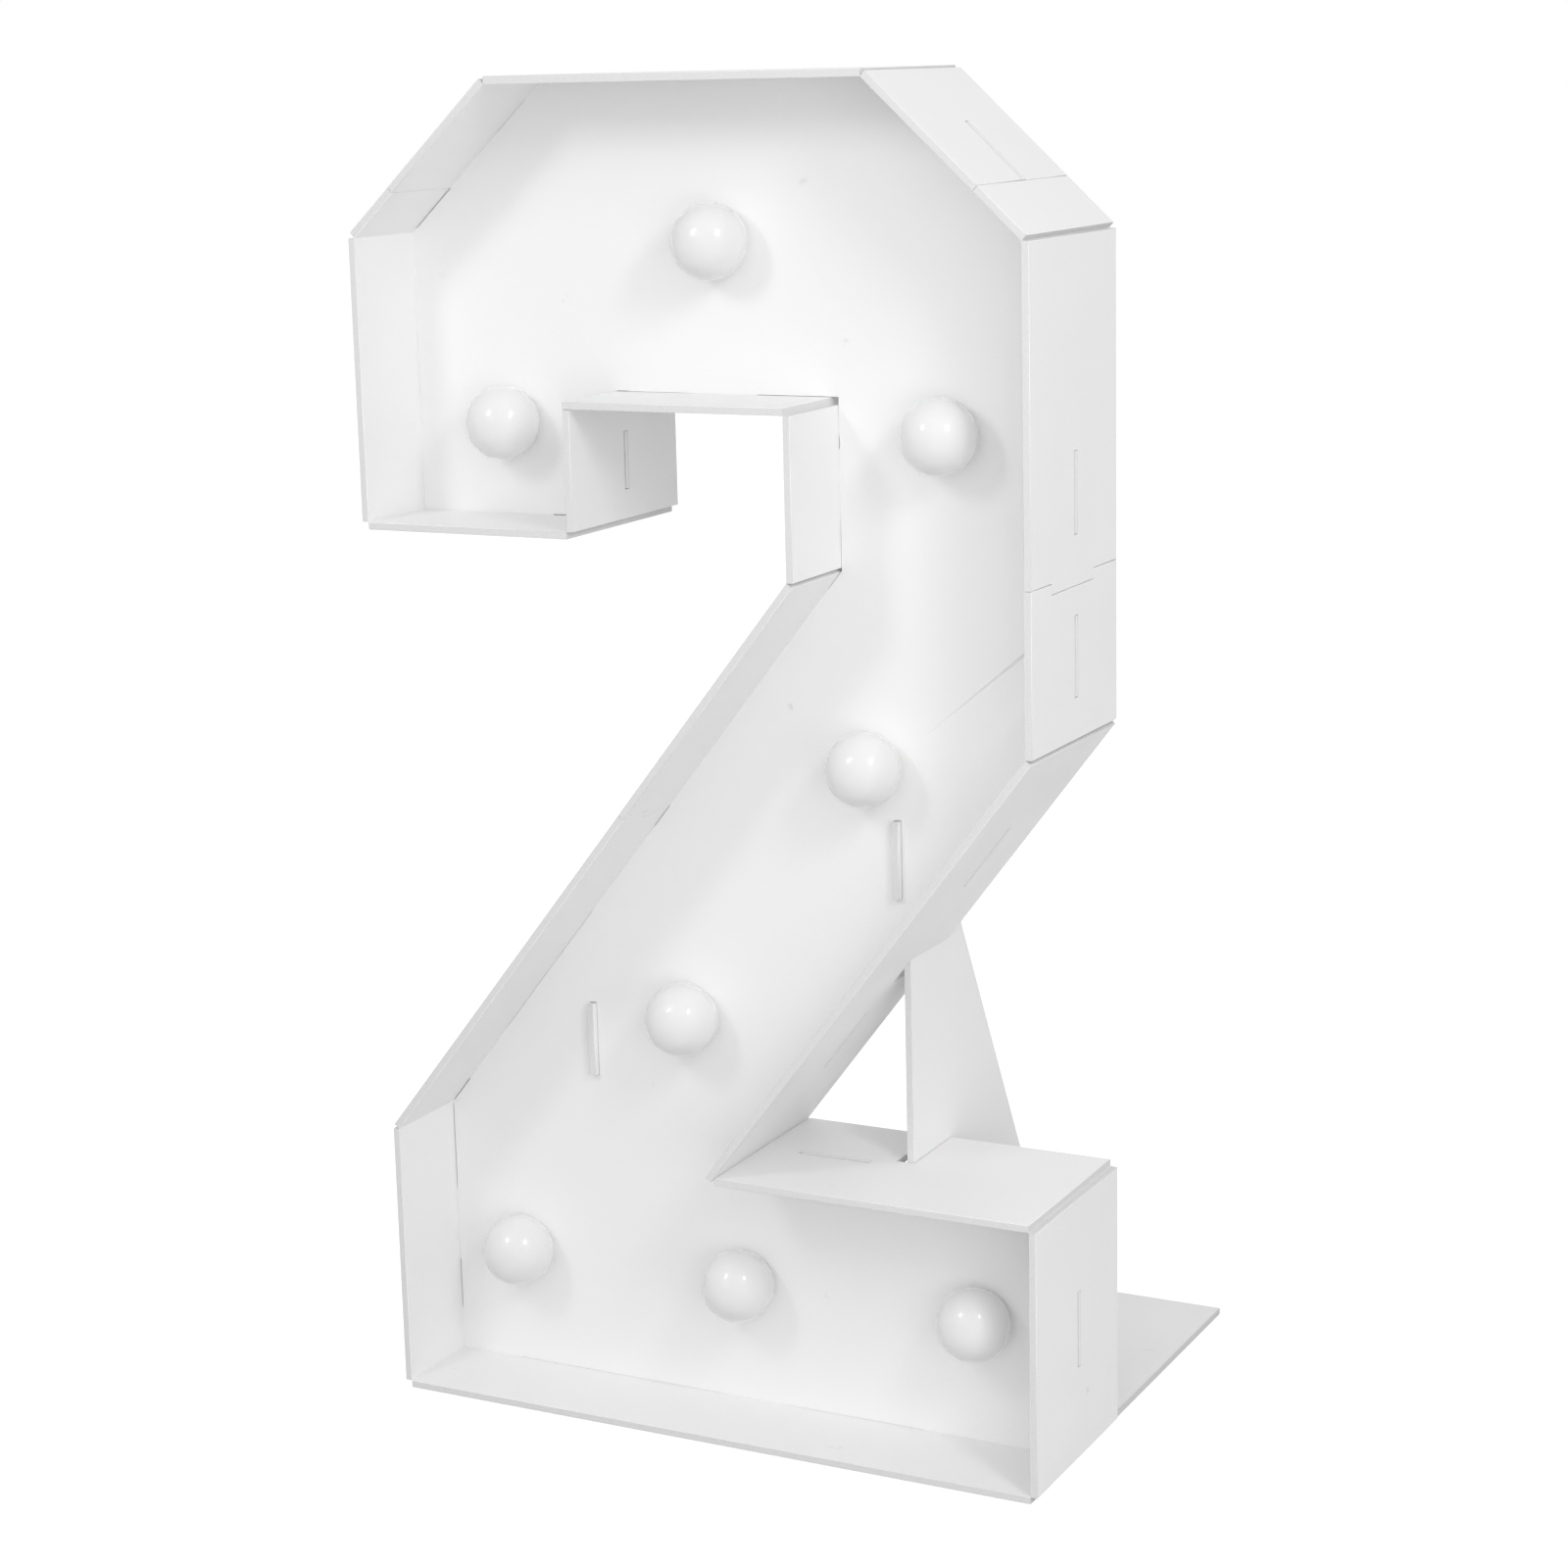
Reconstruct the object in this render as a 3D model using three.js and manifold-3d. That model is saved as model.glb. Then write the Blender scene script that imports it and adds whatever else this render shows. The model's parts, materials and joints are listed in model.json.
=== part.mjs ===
// A light up marquee number: the figure two, three feet tall, cut from white foamed board.
// A face panel shaped like the figure stands halfway back in a surround of folded board strips.
// Tabs on the panel's edges pass through slots in the strips and lock every strip in place.
// Eight opal balls screw onto lamp holders through the panel, and two fins brace it from behind.
// Millimetres, +Z up, the front faces -Y, the origin is the centre of the footprint on the floor.
import * as THREE from 'three';
import { mergeVertices } from 'three/addons/utils/BufferGeometryUtils.js';
import Module from 'manifold-3d';

const wasm = await Module();
wasm.setup();

// The board and how it is cut
const boardThickness = 5;
const foldSkin = 0.6; // face sheet left whole in a fold
const seat = 0.3; // gap between pieces that touch
const overrun = 2; // how far a cut runs past the face it leaves by
const panelGap = 0.6; // dark line round the face panel
const tabLength = 52;
const notchTabLength = 47;
const hookTabLength = 38;
const slotEndGap = 0.5; // room at each end of a slot

// The figure as a whole
const overallHeight = 914;
const overallWidth = 488;
const wallDepth = 142;
const faceRecess = 70; // from the front edges of the walls back to the face panel
const footDepth = 362; // the bottom board runs this far from front to rear

// The outline of the figure, between the inner faces of the boards
const chamferRun = 105;
const chamferDrop = 98;
const armHeight = 202; // from the top down to the notch plate
const rightWallHeight = 317; // from the right chamfer down to the elbow
const notchWallHeight = 112.5;
const strokeWidth = 158; // right upright, wall to wall
const hookInnerHeight = 85; // inner wall of the hook
const hookWidth = 155; // hook of the figure, wall to wall
const baseHeight = 191; // top of the base plate
const diagonalFootX = 5; // where the diagonal's inner face meets that height
const baseLeftHeight = 193.3; // top of the left end wall

// Where strips end and tabs sit, measured along each facet
const chamferSeam = 43; // up from the side wall
const wallSeam = 105.5; // up from the elbow
const diagonalSeam = 305; // up from the left end wall
const seamTabOffset = 52; // from a seam to the middle of the tabs beside it
const lowerDiagonalTabShares = [0.26, 0.7];
const upperDiagonalTab = 51;
const basePlateTab = 65;
const hookTab = 46;
const tongueLength = 7;
const tongueWidth = 69;
const tongueInset = 33;

// Fins
const finX = 118.5; // middle of a fin, left or right of centre
const finHead = 30; // width of the flat top
const rightFinDrop = 27; // from the diagonal's upper lamp down to the top of the right fin
const leftFinRise = 8; // from the diagonal's lower lamp up to the top of the left fin
const finFootReach = 337; // rear end of the fin, from the front of the walls
const finTabDrop = 36; // from the fin's top down to the middle of its tab
const finTabProud = 5; // the tab stands this far in front of the panel
const finSlotWidth = 13; // the slots in the base plate and the diagonal are wider than the fin
const footTabLength = 40;
const footTabShares = [0.25, 0.75];

// Where the lamps sit
const topLampDrop = 102; // below the top
const rowLampRise = 64; // the lamps of the hook and the shoulder, above the hook's floor
const baseLampInset = 62; // from the end walls of the base
const upperLampShares = [0.796, 0.783]; // of the run and the rise of the diagonal stroke
const lowerLampShares = [0.29, 0.261];

// Lamps: ball, holder and LED. Depths are from the front face of the panel, to the rear positive.
const ballRadius = 25;
const ballRimRadius = 16.6; // flat back of the ball, against the panel
const ballWall = 1.2;
const ballSides = 24;
const outerArcSteps = 7;
const innerArcSteps = 3;
const barrelRadius = 10.2;
const barrelReach = 8;
const barrelWall = 1.9;
const neckWall = 1.3;
const flangeRadius = 15.5;
const flangeThickness = 2.3;
const cupRadius = 12.5;
const cupDepth = 13;
const cupFloor = 1.6;
const cupChamfer = 1;
const ledLedge = 1.1; // the step that the LED's board rests on
const ledSeatDepth = 4.2;
const nubRadius = 2.2;
const nubReach = 17;
const nubSides = 10;
const holderSides = 16;
const ledBoardThickness = 1.6;
const ledStemRadius = 3;
const ledStemReach = 3;
const ledRadius = 2.5;
const ledReach = 8;
const ledSides = 10;
const ledArcSteps = 2;

// The light string's wire
const leadRadius = 1.2;
const leadSides = 8;
const leadSteps = 10;
const leadDip = 3.2; // the wire dips this far towards the panel between holders
const leadPullShare = 0.36; // how far each end is drawn straight on, of the span

// Battery case, behind the panel in the base
const caseFinGap = 17; // from the case to the right fin
const caseLampDrop = 16.7; // from the middle of the base lamps down to the case
const cellDiameter = 14.2;
const cellLength = 49.3;
const cellNubRadius = 2.75;
const cellNubLength = 1.2;
const cellGap = 1.4;
const cellCount = 3;
const cellSides = 14;
const endWall = 1.6;
const sideWall = 2.4;
const caseFloor = 1.4;
const caseRoof = 1.6;
const springLength = 4.2;
const springTurns = 2.5;
const springWireRadius = 0.35;
const springBaseRadius = 4.6;
const springTipRadius = 3;
const springSides = 5;
const springStepsPerTurn = 8;
const contactThickness = 0.5;
const contactMargin = 1.2; // a contact plate is this much narrower than its cell, each side
const buttonHeight = 0.8;
const buttonRadius = 3;
const buttonSides = 12;
const coverThickness = 1.6;
const grooveDepth = 1;
const gripCount = 4;
const gripPitch = 2.4;
const gripWidth = 1.1;
const gripHeight = 0.6;
const gripInset = 5;
const gripLength = 24;
const padThickness = 1.2;
const padInset = 6;
const leadHoleRadius = 1.5;
const leadHoleInset = 5; // from the case's lower side wall
const switchTravel = 4;
const sliderStem = 3;
const sliderFoot = 2.2;
const knobLength = 5;
const knobWidth = 4.4;
const knobHeight = 2;
const switchBodyLength = 11;
const switchBodyWidth = 7;
const switchBodyHeight = 6;

// Worked out from the sizes above
const innerHalf = overallWidth / 2 - boardThickness;
const innerTop = overallHeight - boardThickness;
const panelBack = faceRecess + boardThickness;
const cupBack = boardThickness + cupDepth;
const nubDepth = boardThickness + seat + flangeThickness + seat + nubRadius;
const finFront = faceRecess + nubDepth + leadRadius + seat; // the wire passes between panel and fins
const ballCentre = Math.sqrt(ballRadius ** 2 - ballRimRadius ** 2) + seat; // in front of the panel
const holeRadius = barrelRadius + seat;
const boreRadius = barrelRadius - barrelWall;
const ledSeatRadius = boreRadius - ledLedge;

// Finishes
const finish = (color, roughness, metalness = 0) =>
  new THREE.MeshStandardMaterial({ color, roughness, metalness });
const boardWhite = finish(0xf2f3f4, 0.55);
const opalWhite = finish(0xf8f8f6, 0.12);
const holderWhite = finish(0xf1f1ef, 0.4);
const ledAmber = finish(0xf3dfa6, 0.2);
const wireWhite = finish(0xeeeeea, 0.45);
const padWhite = finish(0xe4e4e2, 0.9);
const cellGreen = finish(0x3f5a4c, 0.35);
const contactMetal = finish(0xc8c9cb, 0.3, 1);

// Solids and cuts
function solid(geometry) {
  const bare = geometry.clone();
  bare.deleteAttribute('normal');
  bare.deleteAttribute('uv');
  const merged = mergeVertices(bare);
  const corners = merged.index.array;
  const triangles = [];
  for (let i = 0; i < corners.length; i += 3) {
    const [a, b, c] = corners.slice(i, i + 3);
    if (a !== b && b !== c && c !== a) triangles.push(a, b, c);
  }
  return new wasm.Manifold(new wasm.Mesh({
    numProp: 3,
    vertProperties: new Float32Array(merged.attributes.position.array),
    triVerts: new Uint32Array(triangles),
  }));
}

function geometryOf(body) {
  const mesh = body.getMesh();
  const geometry = new THREE.BufferGeometry();
  geometry.setAttribute('position', new THREE.BufferAttribute(mesh.vertProperties, mesh.numProp));
  geometry.setIndex(new THREE.BufferAttribute(mesh.triVerts, 1));
  geometry.computeVertexNormals();
  return geometry;
}

// An outline in x and z, drawn from the front, that fills the depths between front and back
function slab(points, front, back) {
  const outline = new THREE.Shape(points);
  const sheet = new THREE.ExtrudeGeometry(outline, { depth: back - front, bevelEnabled: false });
  return sheet.rotateX(Math.PI / 2).translate(0, back, 0);
}

// A block between its lowest and its highest corner
function block(low, high) {
  const size = high.map((value, axis) => value - low[axis]);
  const middle = high.map((value, axis) => (value + low[axis]) / 2);
  return new THREE.BoxGeometry(...size).translate(...middle);
}

// A piece turned about the y axis from pairs of radius and depth, its outside drawn front to rear
function turned(profile, sides) {
  return new THREE.LatheGeometry(profile.map(([radius, depth]) => new THREE.Vector2(radius, depth)), sides);
}

// A wire of round section along a path
function wire(path, radius, sides, steps) {
  const section = Array.from({ length: sides }, (_, i) => {
    const angle = (i / sides) * Math.PI * 2;
    return new THREE.Vector2(radius * Math.cos(angle), radius * Math.sin(angle));
  });
  return new THREE.ExtrudeGeometry(new THREE.Shape(section), { extrudePath: path, steps });
}

const cut = (body, ...tools) => tools.reduce((rest, tool) => rest.subtract(solid(tool)), body);
const join = (body, ...others) => others.reduce((whole, other) => whole.add(solid(other)), body);

// The figure's corners, between the inner faces of the boards
const shoulderHeight = innerTop - chamferDrop;
const elbowHeight = shoulderHeight - rightWallHeight;
const notchPlateHeight = innerTop - armHeight;
const notchFootHeight = notchPlateHeight - notchWallHeight;
const hookFloorHeight = notchPlateHeight - hookInnerHeight;
const plateUnderside = baseHeight - boardThickness;
const diagonalLean = (innerHalf - diagonalFootX) / (elbowHeight - baseHeight);
const corner = {
  hookTop: new THREE.Vector2(-innerHalf, shoulderHeight),
  topLeft: new THREE.Vector2(-innerHalf + chamferRun, innerTop),
  topRight: new THREE.Vector2(innerHalf - chamferRun, innerTop),
  shoulder: new THREE.Vector2(innerHalf, shoulderHeight),
  elbow: new THREE.Vector2(innerHalf, elbowHeight),
  crotch: new THREE.Vector2(diagonalFootX - boardThickness * diagonalLean, plateUnderside),
  baseRight: new THREE.Vector2(innerHalf, plateUnderside),
  footRight: new THREE.Vector2(innerHalf, boardThickness),
  footLeft: new THREE.Vector2(-innerHalf, boardThickness),
  baseLeft: new THREE.Vector2(-innerHalf, baseLeftHeight),
  notchFoot: new THREE.Vector2(innerHalf - strokeWidth, notchFootHeight),
  notchCorner: new THREE.Vector2(innerHalf - strokeWidth, notchPlateHeight),
  hookCorner: new THREE.Vector2(-innerHalf + hookWidth, notchPlateHeight),
  hookRight: new THREE.Vector2(-innerHalf + hookWidth, hookFloorHeight),
  hookLeft: new THREE.Vector2(-innerHalf, hookFloorHeight),
};

// A facet is one flat side of the figure. It runs clockwise, seen from the front.
function facet(from, to) {
  const along = to.clone().sub(from).normalize();
  return { from, to, along, out: new THREE.Vector2(-along.y, along.x), length: from.distanceTo(to) };
}

const facets = {
  leftChamfer: facet(corner.hookTop, corner.topLeft),
  top: facet(corner.topLeft, corner.topRight),
  rightChamfer: facet(corner.topRight, corner.shoulder),
  rightWall: facet(corner.shoulder, corner.elbow),
  lowerDiagonal: facet(corner.elbow, corner.crotch),
  basePlate: facet(corner.crotch, corner.baseRight),
  baseEnd: facet(corner.baseRight, corner.footRight),
  bottom: facet(corner.footRight, corner.footLeft),
  baseLeftWall: facet(corner.footLeft, corner.baseLeft),
  upperDiagonal: facet(corner.baseLeft, corner.notchFoot),
  notchWall: facet(corner.notchFoot, corner.notchCorner),
  notchPlate: facet(corner.notchCorner, corner.hookCorner),
  hookInner: facet(corner.hookCorner, corner.hookRight),
  hookBottom: facet(corner.hookRight, corner.hookLeft),
  hookWall: facet(corner.hookLeft, corner.hookTop),
};

// A point a distance along a facet and a height above its inner face
const on = (side, distance, height = 0) =>
  side.from.clone().addScaledVector(side.along, distance).addScaledVector(side.out, height);

// A block laid along a facet
const laid = (side, start, end, low, high, front, back) => slab(
  [on(side, start, low), on(side, end, low), on(side, end, high), on(side, start, high)], front, back);

// The panel's tabs: the facet each one crosses, its middle along that facet, and its length
const middleOf = (side, length = tabLength) => [side, side.length / 2, length];
const chamferTab = chamferSeam + slotEndGap + tabLength / 2;
const rightWallSeam = facets.rightWall.length - wallSeam;
const tabs = [
  [facets.leftChamfer, chamferTab, tabLength],
  middleOf(facets.top),
  [facets.rightChamfer, facets.rightChamfer.length - chamferTab, tabLength],
  [facets.rightWall, rightWallSeam - seamTabOffset, tabLength],
  [facets.rightWall, rightWallSeam + seamTabOffset, tabLength],
  ...lowerDiagonalTabShares.map((share) =>
    [facets.lowerDiagonal, facets.lowerDiagonal.length * share, tabLength]),
  [facets.basePlate, basePlateTab, tabLength],
  middleOf(facets.baseEnd),
  middleOf(facets.bottom),
  middleOf(facets.baseLeftWall),
  [facets.upperDiagonal, upperDiagonalTab, tabLength],
  [facets.upperDiagonal, diagonalSeam - seamTabOffset, tabLength],
  [facets.upperDiagonal, diagonalSeam + seamTabOffset, tabLength],
  middleOf(facets.notchWall, notchTabLength),
  middleOf(facets.notchPlate, notchTabLength),
  [facets.hookInner, hookTab, hookTabLength],
  middleOf(facets.hookBottom),
  middleOf(facets.hookWall),
];

const slotFor = ([side, place, length]) => laid(
  side, place - length / 2 - slotEndGap, place + length / 2 + slotEndGap,
  -overrun, boardThickness + overrun, faceRecess - seat, panelBack + seat);
const slotsIn = (...sides) => tabs.filter(([side]) => sides.includes(side)).map(slotFor);

// Lamps along the string, from the hook to the base, with the heading in degrees of the wire that
// leaves each one
const strokeFoot = corner.baseLeft.clone().lerp(corner.crotch, 0.5);
const strokeHead = corner.notchFoot.clone().lerp(corner.elbow, 0.5);
const strokeLamp = ([runShare, riseShare], heading) => ({
  x: THREE.MathUtils.lerp(strokeFoot.x, strokeHead.x, runShare),
  z: THREE.MathUtils.lerp(strokeFoot.y, strokeHead.y, riseShare),
  heading,
});
const rowLampHeight = hookFloorHeight + rowLampRise;
const baseLampHeight = (boardThickness + plateUnderside) / 2;
const baseLampX = innerHalf - baseLampInset;
const upperLamp = strokeLamp(upperLampShares, -116);
const lowerLamp = strokeLamp(lowerLampShares, -127);
const lamps = [
  { x: -innerHalf + hookWidth / 2, z: rowLampHeight, heading: 37 },
  { x: 0, z: innerTop - topLampDrop, heading: 0 },
  { x: innerHalf - strokeWidth / 2, z: rowLampHeight, heading: -71 },
  upperLamp,
  lowerLamp,
  { x: -baseLampX, z: baseLampHeight, heading: -63 },
  { x: 0, z: baseLampHeight, heading: 0 },
  { x: baseLampX, z: baseLampHeight, heading: 0 },
];

// A corner of the panel, set in from the corner where two facets meet
function insetCorner(before, after) {
  const reach = panelGap / (1 + before.out.dot(after.out));
  return after.from.clone().addScaledVector(before.out.clone().add(after.out), -reach);
}

function facePanel() {
  const order = Object.values(facets);
  const points = [];
  order.forEach((side, i) => {
    points.push(insetCorner(order[(i + order.length - 1) % order.length], side));
    const own = tabs.filter(([tabSide]) => tabSide === side).sort((a, b) => a[1] - b[1]);
    for (const [, place, length] of own) {
      const start = place - length / 2;
      const end = place + length / 2;
      points.push(on(side, start, -panelGap), on(side, start, boardThickness));
      points.push(on(side, end, boardThickness), on(side, end, -panelGap));
    }
  });
  const sheet = solid(slab(points, faceRecess, panelBack));
  const holes = lamps.map(({ x, z }) => turned([
    [0, -overrun],
    [holeRadius, -overrun],
    [holeRadius, boardThickness + overrun],
    [0, boardThickness + overrun],
  ], holderSides).translate(x, faceRecess, z));
  return geometryOf(cut(sheet, ...holes, ...fins.map(finPanelSlot)));
}

// A strip of boards folded along a line. Square-cut boards hang on a thin skin that runs along the
// line, so every fold leaves an open notch on its far side. Side 1 puts the boards to the left.
function foldedStrip(line, side) {
  const outs = line.slice(1).map((point, i) => {
    const along = point.clone().sub(line[i]).normalize();
    return new THREE.Vector2(-along.y, along.x).multiplyScalar(side);
  });
  const raised = (point, out, height) => point.clone().addScaledVector(out, height);
  const far = [raised(line[0], outs[0], boardThickness)];
  for (let i = 1; i < outs.length; i += 1) {
    far.push(raised(line[i], outs[i - 1], boardThickness), raised(line[i], outs[i - 1], foldSkin));
    far.push(raised(line[i], outs[i], foldSkin), raised(line[i], outs[i], boardThickness));
  }
  far.push(raised(line[line.length - 1], outs[outs.length - 1], boardThickness));
  return slab([...line, ...far.reverse()], 0, wallDepth);
}

// Two boards at a re-entrant corner are hinged on their outer faces: the corner of those faces
function outerCorner(before, after) {
  const reach = boardThickness / (1 + before.out.dot(after.out));
  return after.from.clone().addScaledVector(before.out.clone().add(after.out), reach);
}

// Seam gaps are shared between the two strips that meet
const seamGap = seat / 2;
const rightChamferSeam = facets.rightChamfer.length - chamferSeam;
const tongueBack = tongueInset + tongueWidth;
const tongue = (side, start, end) => laid(side, start, end, 0, boardThickness, tongueInset, tongueBack);
const tongueSocket = (side, start, end) => laid(
  side, start, end, -overrun, boardThickness + overrun, tongueInset - seamGap, tongueBack + seamGap);

function topStrip() {
  const line = [on(facets.leftChamfer, chamferSeam + seamGap), corner.topLeft, corner.topRight,
    on(facets.rightChamfer, rightChamferSeam - seamGap)];
  const slots = slotsIn(facets.leftChamfer, facets.top, facets.rightChamfer);
  return geometryOf(cut(solid(foldedStrip(line, 1)), ...slots));
}

function rightUpperStrip() {
  const line = [on(facets.rightChamfer, rightChamferSeam + seamGap), corner.shoulder,
    on(facets.rightWall, rightWallSeam - seamGap)];
  const strip = join(solid(foldedStrip(line, 1)),
    tongue(facets.rightWall, rightWallSeam - overrun, rightWallSeam + tongueLength - seamGap));
  return geometryOf(cut(strip, ...slotsIn(facets.rightWall)));
}

function rightLowerStrip() {
  const diagonalEnd = new THREE.Vector2(diagonalFootX, baseHeight);
  const line = [on(facets.rightWall, rightWallSeam + seamGap), corner.elbow, diagonalEnd];
  const socket = tongueSocket(
    facets.rightWall, rightWallSeam - overrun, rightWallSeam + tongueLength + seamGap);
  return geometryOf(cut(solid(foldedStrip(line, 1)), socket, finWallSlot(),
    ...slotsIn(facets.rightWall, facets.lowerDiagonal)));
}

function baseStrip() {
  // the plate butts against the outer face of the diagonal
  const diagonalFace = boardThickness * Math.hypot(1, diagonalLean);
  const plateEnd = new THREE.Vector2(diagonalFootX + diagonalFace + seat, plateUnderside);
  const line = [plateEnd, corner.baseRight, corner.footRight, corner.footLeft, corner.baseLeft,
    on(facets.upperDiagonal, diagonalSeam - seamGap)];
  const foot = block([-innerHalf, wallDepth - overrun, 0], [innerHalf, footDepth, boardThickness]);
  const socket = tongueSocket(
    facets.upperDiagonal, diagonalSeam + overrun, diagonalSeam - tongueLength - seamGap);
  const strip = join(solid(foldedStrip(line, 1)), foot);
  return geometryOf(cut(strip, socket, finWallSlot(), ...fins.flatMap(finFootSlots), ...slotsIn(
    facets.basePlate, facets.baseEnd, facets.bottom, facets.baseLeftWall, facets.upperDiagonal)));
}

function notchStrip() {
  const line = [on(facets.upperDiagonal, diagonalSeam + seamGap, boardThickness),
    outerCorner(facets.upperDiagonal, facets.notchWall),
    outerCorner(facets.notchWall, facets.notchPlate),
    on(facets.notchPlate, facets.notchPlate.length, boardThickness)];
  const strip = join(solid(foldedStrip(line, -1)),
    tongue(facets.upperDiagonal, diagonalSeam + overrun, diagonalSeam - tongueLength + seamGap));
  return geometryOf(cut(strip, ...slotsIn(facets.upperDiagonal, facets.notchWall, facets.notchPlate)));
}

function leftStrip() {
  // the notch plate lies on the hook's inner wall
  const line = [on(facets.hookInner, boardThickness + seat), corner.hookRight, corner.hookLeft,
    corner.hookTop, on(facets.leftChamfer, chamferSeam - seamGap)];
  const slots = slotsIn(facets.hookInner, facets.hookBottom, facets.hookWall);
  return geometryOf(cut(solid(foldedStrip(line, 1)), ...slots));
}

// Fins: their outline in depth and height, and the slots they pass through
const leftFinTop = lowerLamp.z + leftFinRise;
const rightFinTop = upperLamp.z - rightFinDrop;
const fins = [
  { name: 'fin_left', x: -finX, top: leftFinTop },
  { name: 'fin_right', x: finX, top: rightFinTop },
];
const footTabMiddle = (share) => finFront + share * (finFootReach - finFront);

function fin({ x, top }) {
  const tabMiddle = top - finTabDrop;
  const tabFront = faceRecess - finTabProud;
  const floor = boardThickness + seat;
  const points = [[finFront, floor]];
  for (const share of footTabShares) {
    const middle = footTabMiddle(share);
    points.push([middle - footTabLength / 2, floor], [middle - footTabLength / 2, seat]);
    points.push([middle + footTabLength / 2, seat], [middle + footTabLength / 2, floor]);
  }
  points.push([finFootReach, floor], [finFront + finHead, top], [finFront, top]);
  points.push([finFront, tabMiddle + tabLength / 2], [tabFront, tabMiddle + tabLength / 2]);
  points.push([tabFront, tabMiddle - tabLength / 2], [finFront, tabMiddle - tabLength / 2]);
  const outline = new THREE.Shape(points.map(([depth, height]) => new THREE.Vector2(depth, height)));
  const sheet = new THREE.ExtrudeGeometry(outline, { depth: boardThickness, bevelEnabled: false });
  const depthHeightAcross = new THREE.Matrix4().makeBasis(
    new THREE.Vector3(0, 1, 0), new THREE.Vector3(0, 0, 1), new THREE.Vector3(1, 0, 0));
  return sheet.applyMatrix4(depthHeightAcross).translate(x - boardThickness / 2, 0, 0);
}

function finPanelSlot({ x, top }) {
  const half = boardThickness / 2 + seat;
  const reach = tabLength / 2 + slotEndGap;
  return block([x - half, faceRecess - overrun, top - finTabDrop - reach],
    [x + half, panelBack + overrun, top - finTabDrop + reach]);
}

function finFootSlots({ x }) {
  const half = boardThickness / 2 + seat;
  const reach = footTabLength / 2 + slotEndGap;
  return footTabShares.map((share) => block(
    [x - half, footTabMiddle(share) - reach, -overrun],
    [x + half, footTabMiddle(share) + reach, boardThickness + overrun]));
}

// The right fin crosses the base plate and the diagonal in slots that are open to the rear
function finWallSlot() {
  const right = finX + boardThickness / 2 + seat;
  return block([right - finSlotWidth, finFront - seat, plateUnderside - overrun],
    [right, wallDepth + overrun, rightFinTop]);
}

// An opal ball with a neck that screws over the holder's barrel
function ball() {
  const back = -seat;
  const arc = (radius, limit, steps) => Array.from({ length: steps + 1 }, (_, i) => {
    const angle = limit * (1 - i / steps);
    return [radius * Math.sin(angle), -ballCentre - radius * Math.cos(angle)];
  });
  const rimAngle = Math.acos((-ballCentre - back) / ballRadius);
  const innerRadius = ballRadius - ballWall;
  const innerBack = back - ballWall;
  const innerAngle = Math.acos((-ballCentre - innerBack) / innerRadius);
  const outer = arc(ballRadius, rimAngle, outerArcSteps).reverse();
  const inner = arc(innerRadius, innerAngle, innerArcSteps);
  const neckOuter = holeRadius + neckWall;
  const neck = [[holeRadius, back], [holeRadius, -barrelReach], [neckOuter, -barrelReach],
    [neckOuter, innerBack]];
  return turned([...outer, ...neck, ...inner], ballSides);
}

// A flanged cup behind the panel, its barrel through the hole, with a nub for each wire
function holder({ heading }) {
  const flangeBack = boardThickness + seat + flangeThickness;
  const seatStep = boardThickness + ledSeatDepth;
  const cup = solid(turned([
    [0, cupBack - cupFloor],
    [ledSeatRadius, cupBack - cupFloor],
    [ledSeatRadius, seatStep],
    [boreRadius, seatStep],
    [boreRadius, -barrelReach],
    [barrelRadius, -barrelReach],
    [barrelRadius, boardThickness + seat],
    [flangeRadius, boardThickness + seat],
    [flangeRadius, flangeBack],
    [cupRadius, flangeBack],
    [cupRadius, cupBack - cupChamfer],
    [cupRadius - cupChamfer, cupBack],
    [0, cupBack],
  ], holderSides));
  const wallMiddle = (cupRadius + ledSeatRadius) / 2;
  const nub = (turn) => new THREE.CylinderGeometry(nubRadius, nubRadius, nubReach - wallMiddle, nubSides)
    .rotateZ(Math.PI / 2).translate((nubReach + wallMiddle) / 2, nubDepth, 0).rotateY(turn);
  const leaving = -THREE.MathUtils.degToRad(heading);
  return geometryOf(join(cup, nub(leaving), nub(leaving + Math.PI)));
}

// The LED: a round board in the holder's bore, a stem and a small domed lens
function led() {
  const boardBack = boardThickness + ledSeatDepth - seat;
  const boardFront = boardBack - ledBoardThickness;
  const lens = Array.from({ length: ledArcSteps + 1 }, (_, i) => {
    const angle = (Math.PI / 2) * (i / ledArcSteps);
    return [ledRadius * Math.sin(angle), -ledReach - ledRadius * Math.cos(angle)];
  });
  return turned([...lens, [ledRadius, -ledStemReach], [ledStemRadius, -ledStemReach],
    [ledStemRadius, boardFront], [boreRadius - seat, boardFront], [boreRadius - seat, boardBack],
    [0, boardBack]], ledSides);
}

// The wire between two nubs: it leaves each one straight, and dips towards the panel on its way
class LeadPath extends THREE.Curve {
  constructor(start, leaving, end, arriving) {
    super();
    const pull = start.distanceTo(end) * leadPullShare;
    this.plan = new THREE.CubicBezierCurve(start, start.clone().addScaledVector(leaving, pull),
      end.clone().addScaledVector(arriving, pull), end);
  }

  getPoint(t, target = new THREE.Vector3()) {
    const place = this.plan.getPoint(t);
    return target.set(place.x, faceRecess + nubDepth - leadDip * Math.sin(Math.PI * t) ** 2, place.y);
  }
}

const lead = (start, leaving, end, arriving) => wire(
  new LeadPath(start, leaving, end, arriving), leadRadius, leadSides, leadSteps);

function nubEnd({ x, z, heading }, side) {
  const angle = THREE.MathUtils.degToRad(heading);
  const direction = new THREE.Vector2(Math.cos(angle), Math.sin(angle)).multiplyScalar(side);
  return { direction, point: new THREE.Vector2(x, z).addScaledVector(direction, nubReach + seat) };
}

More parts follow.
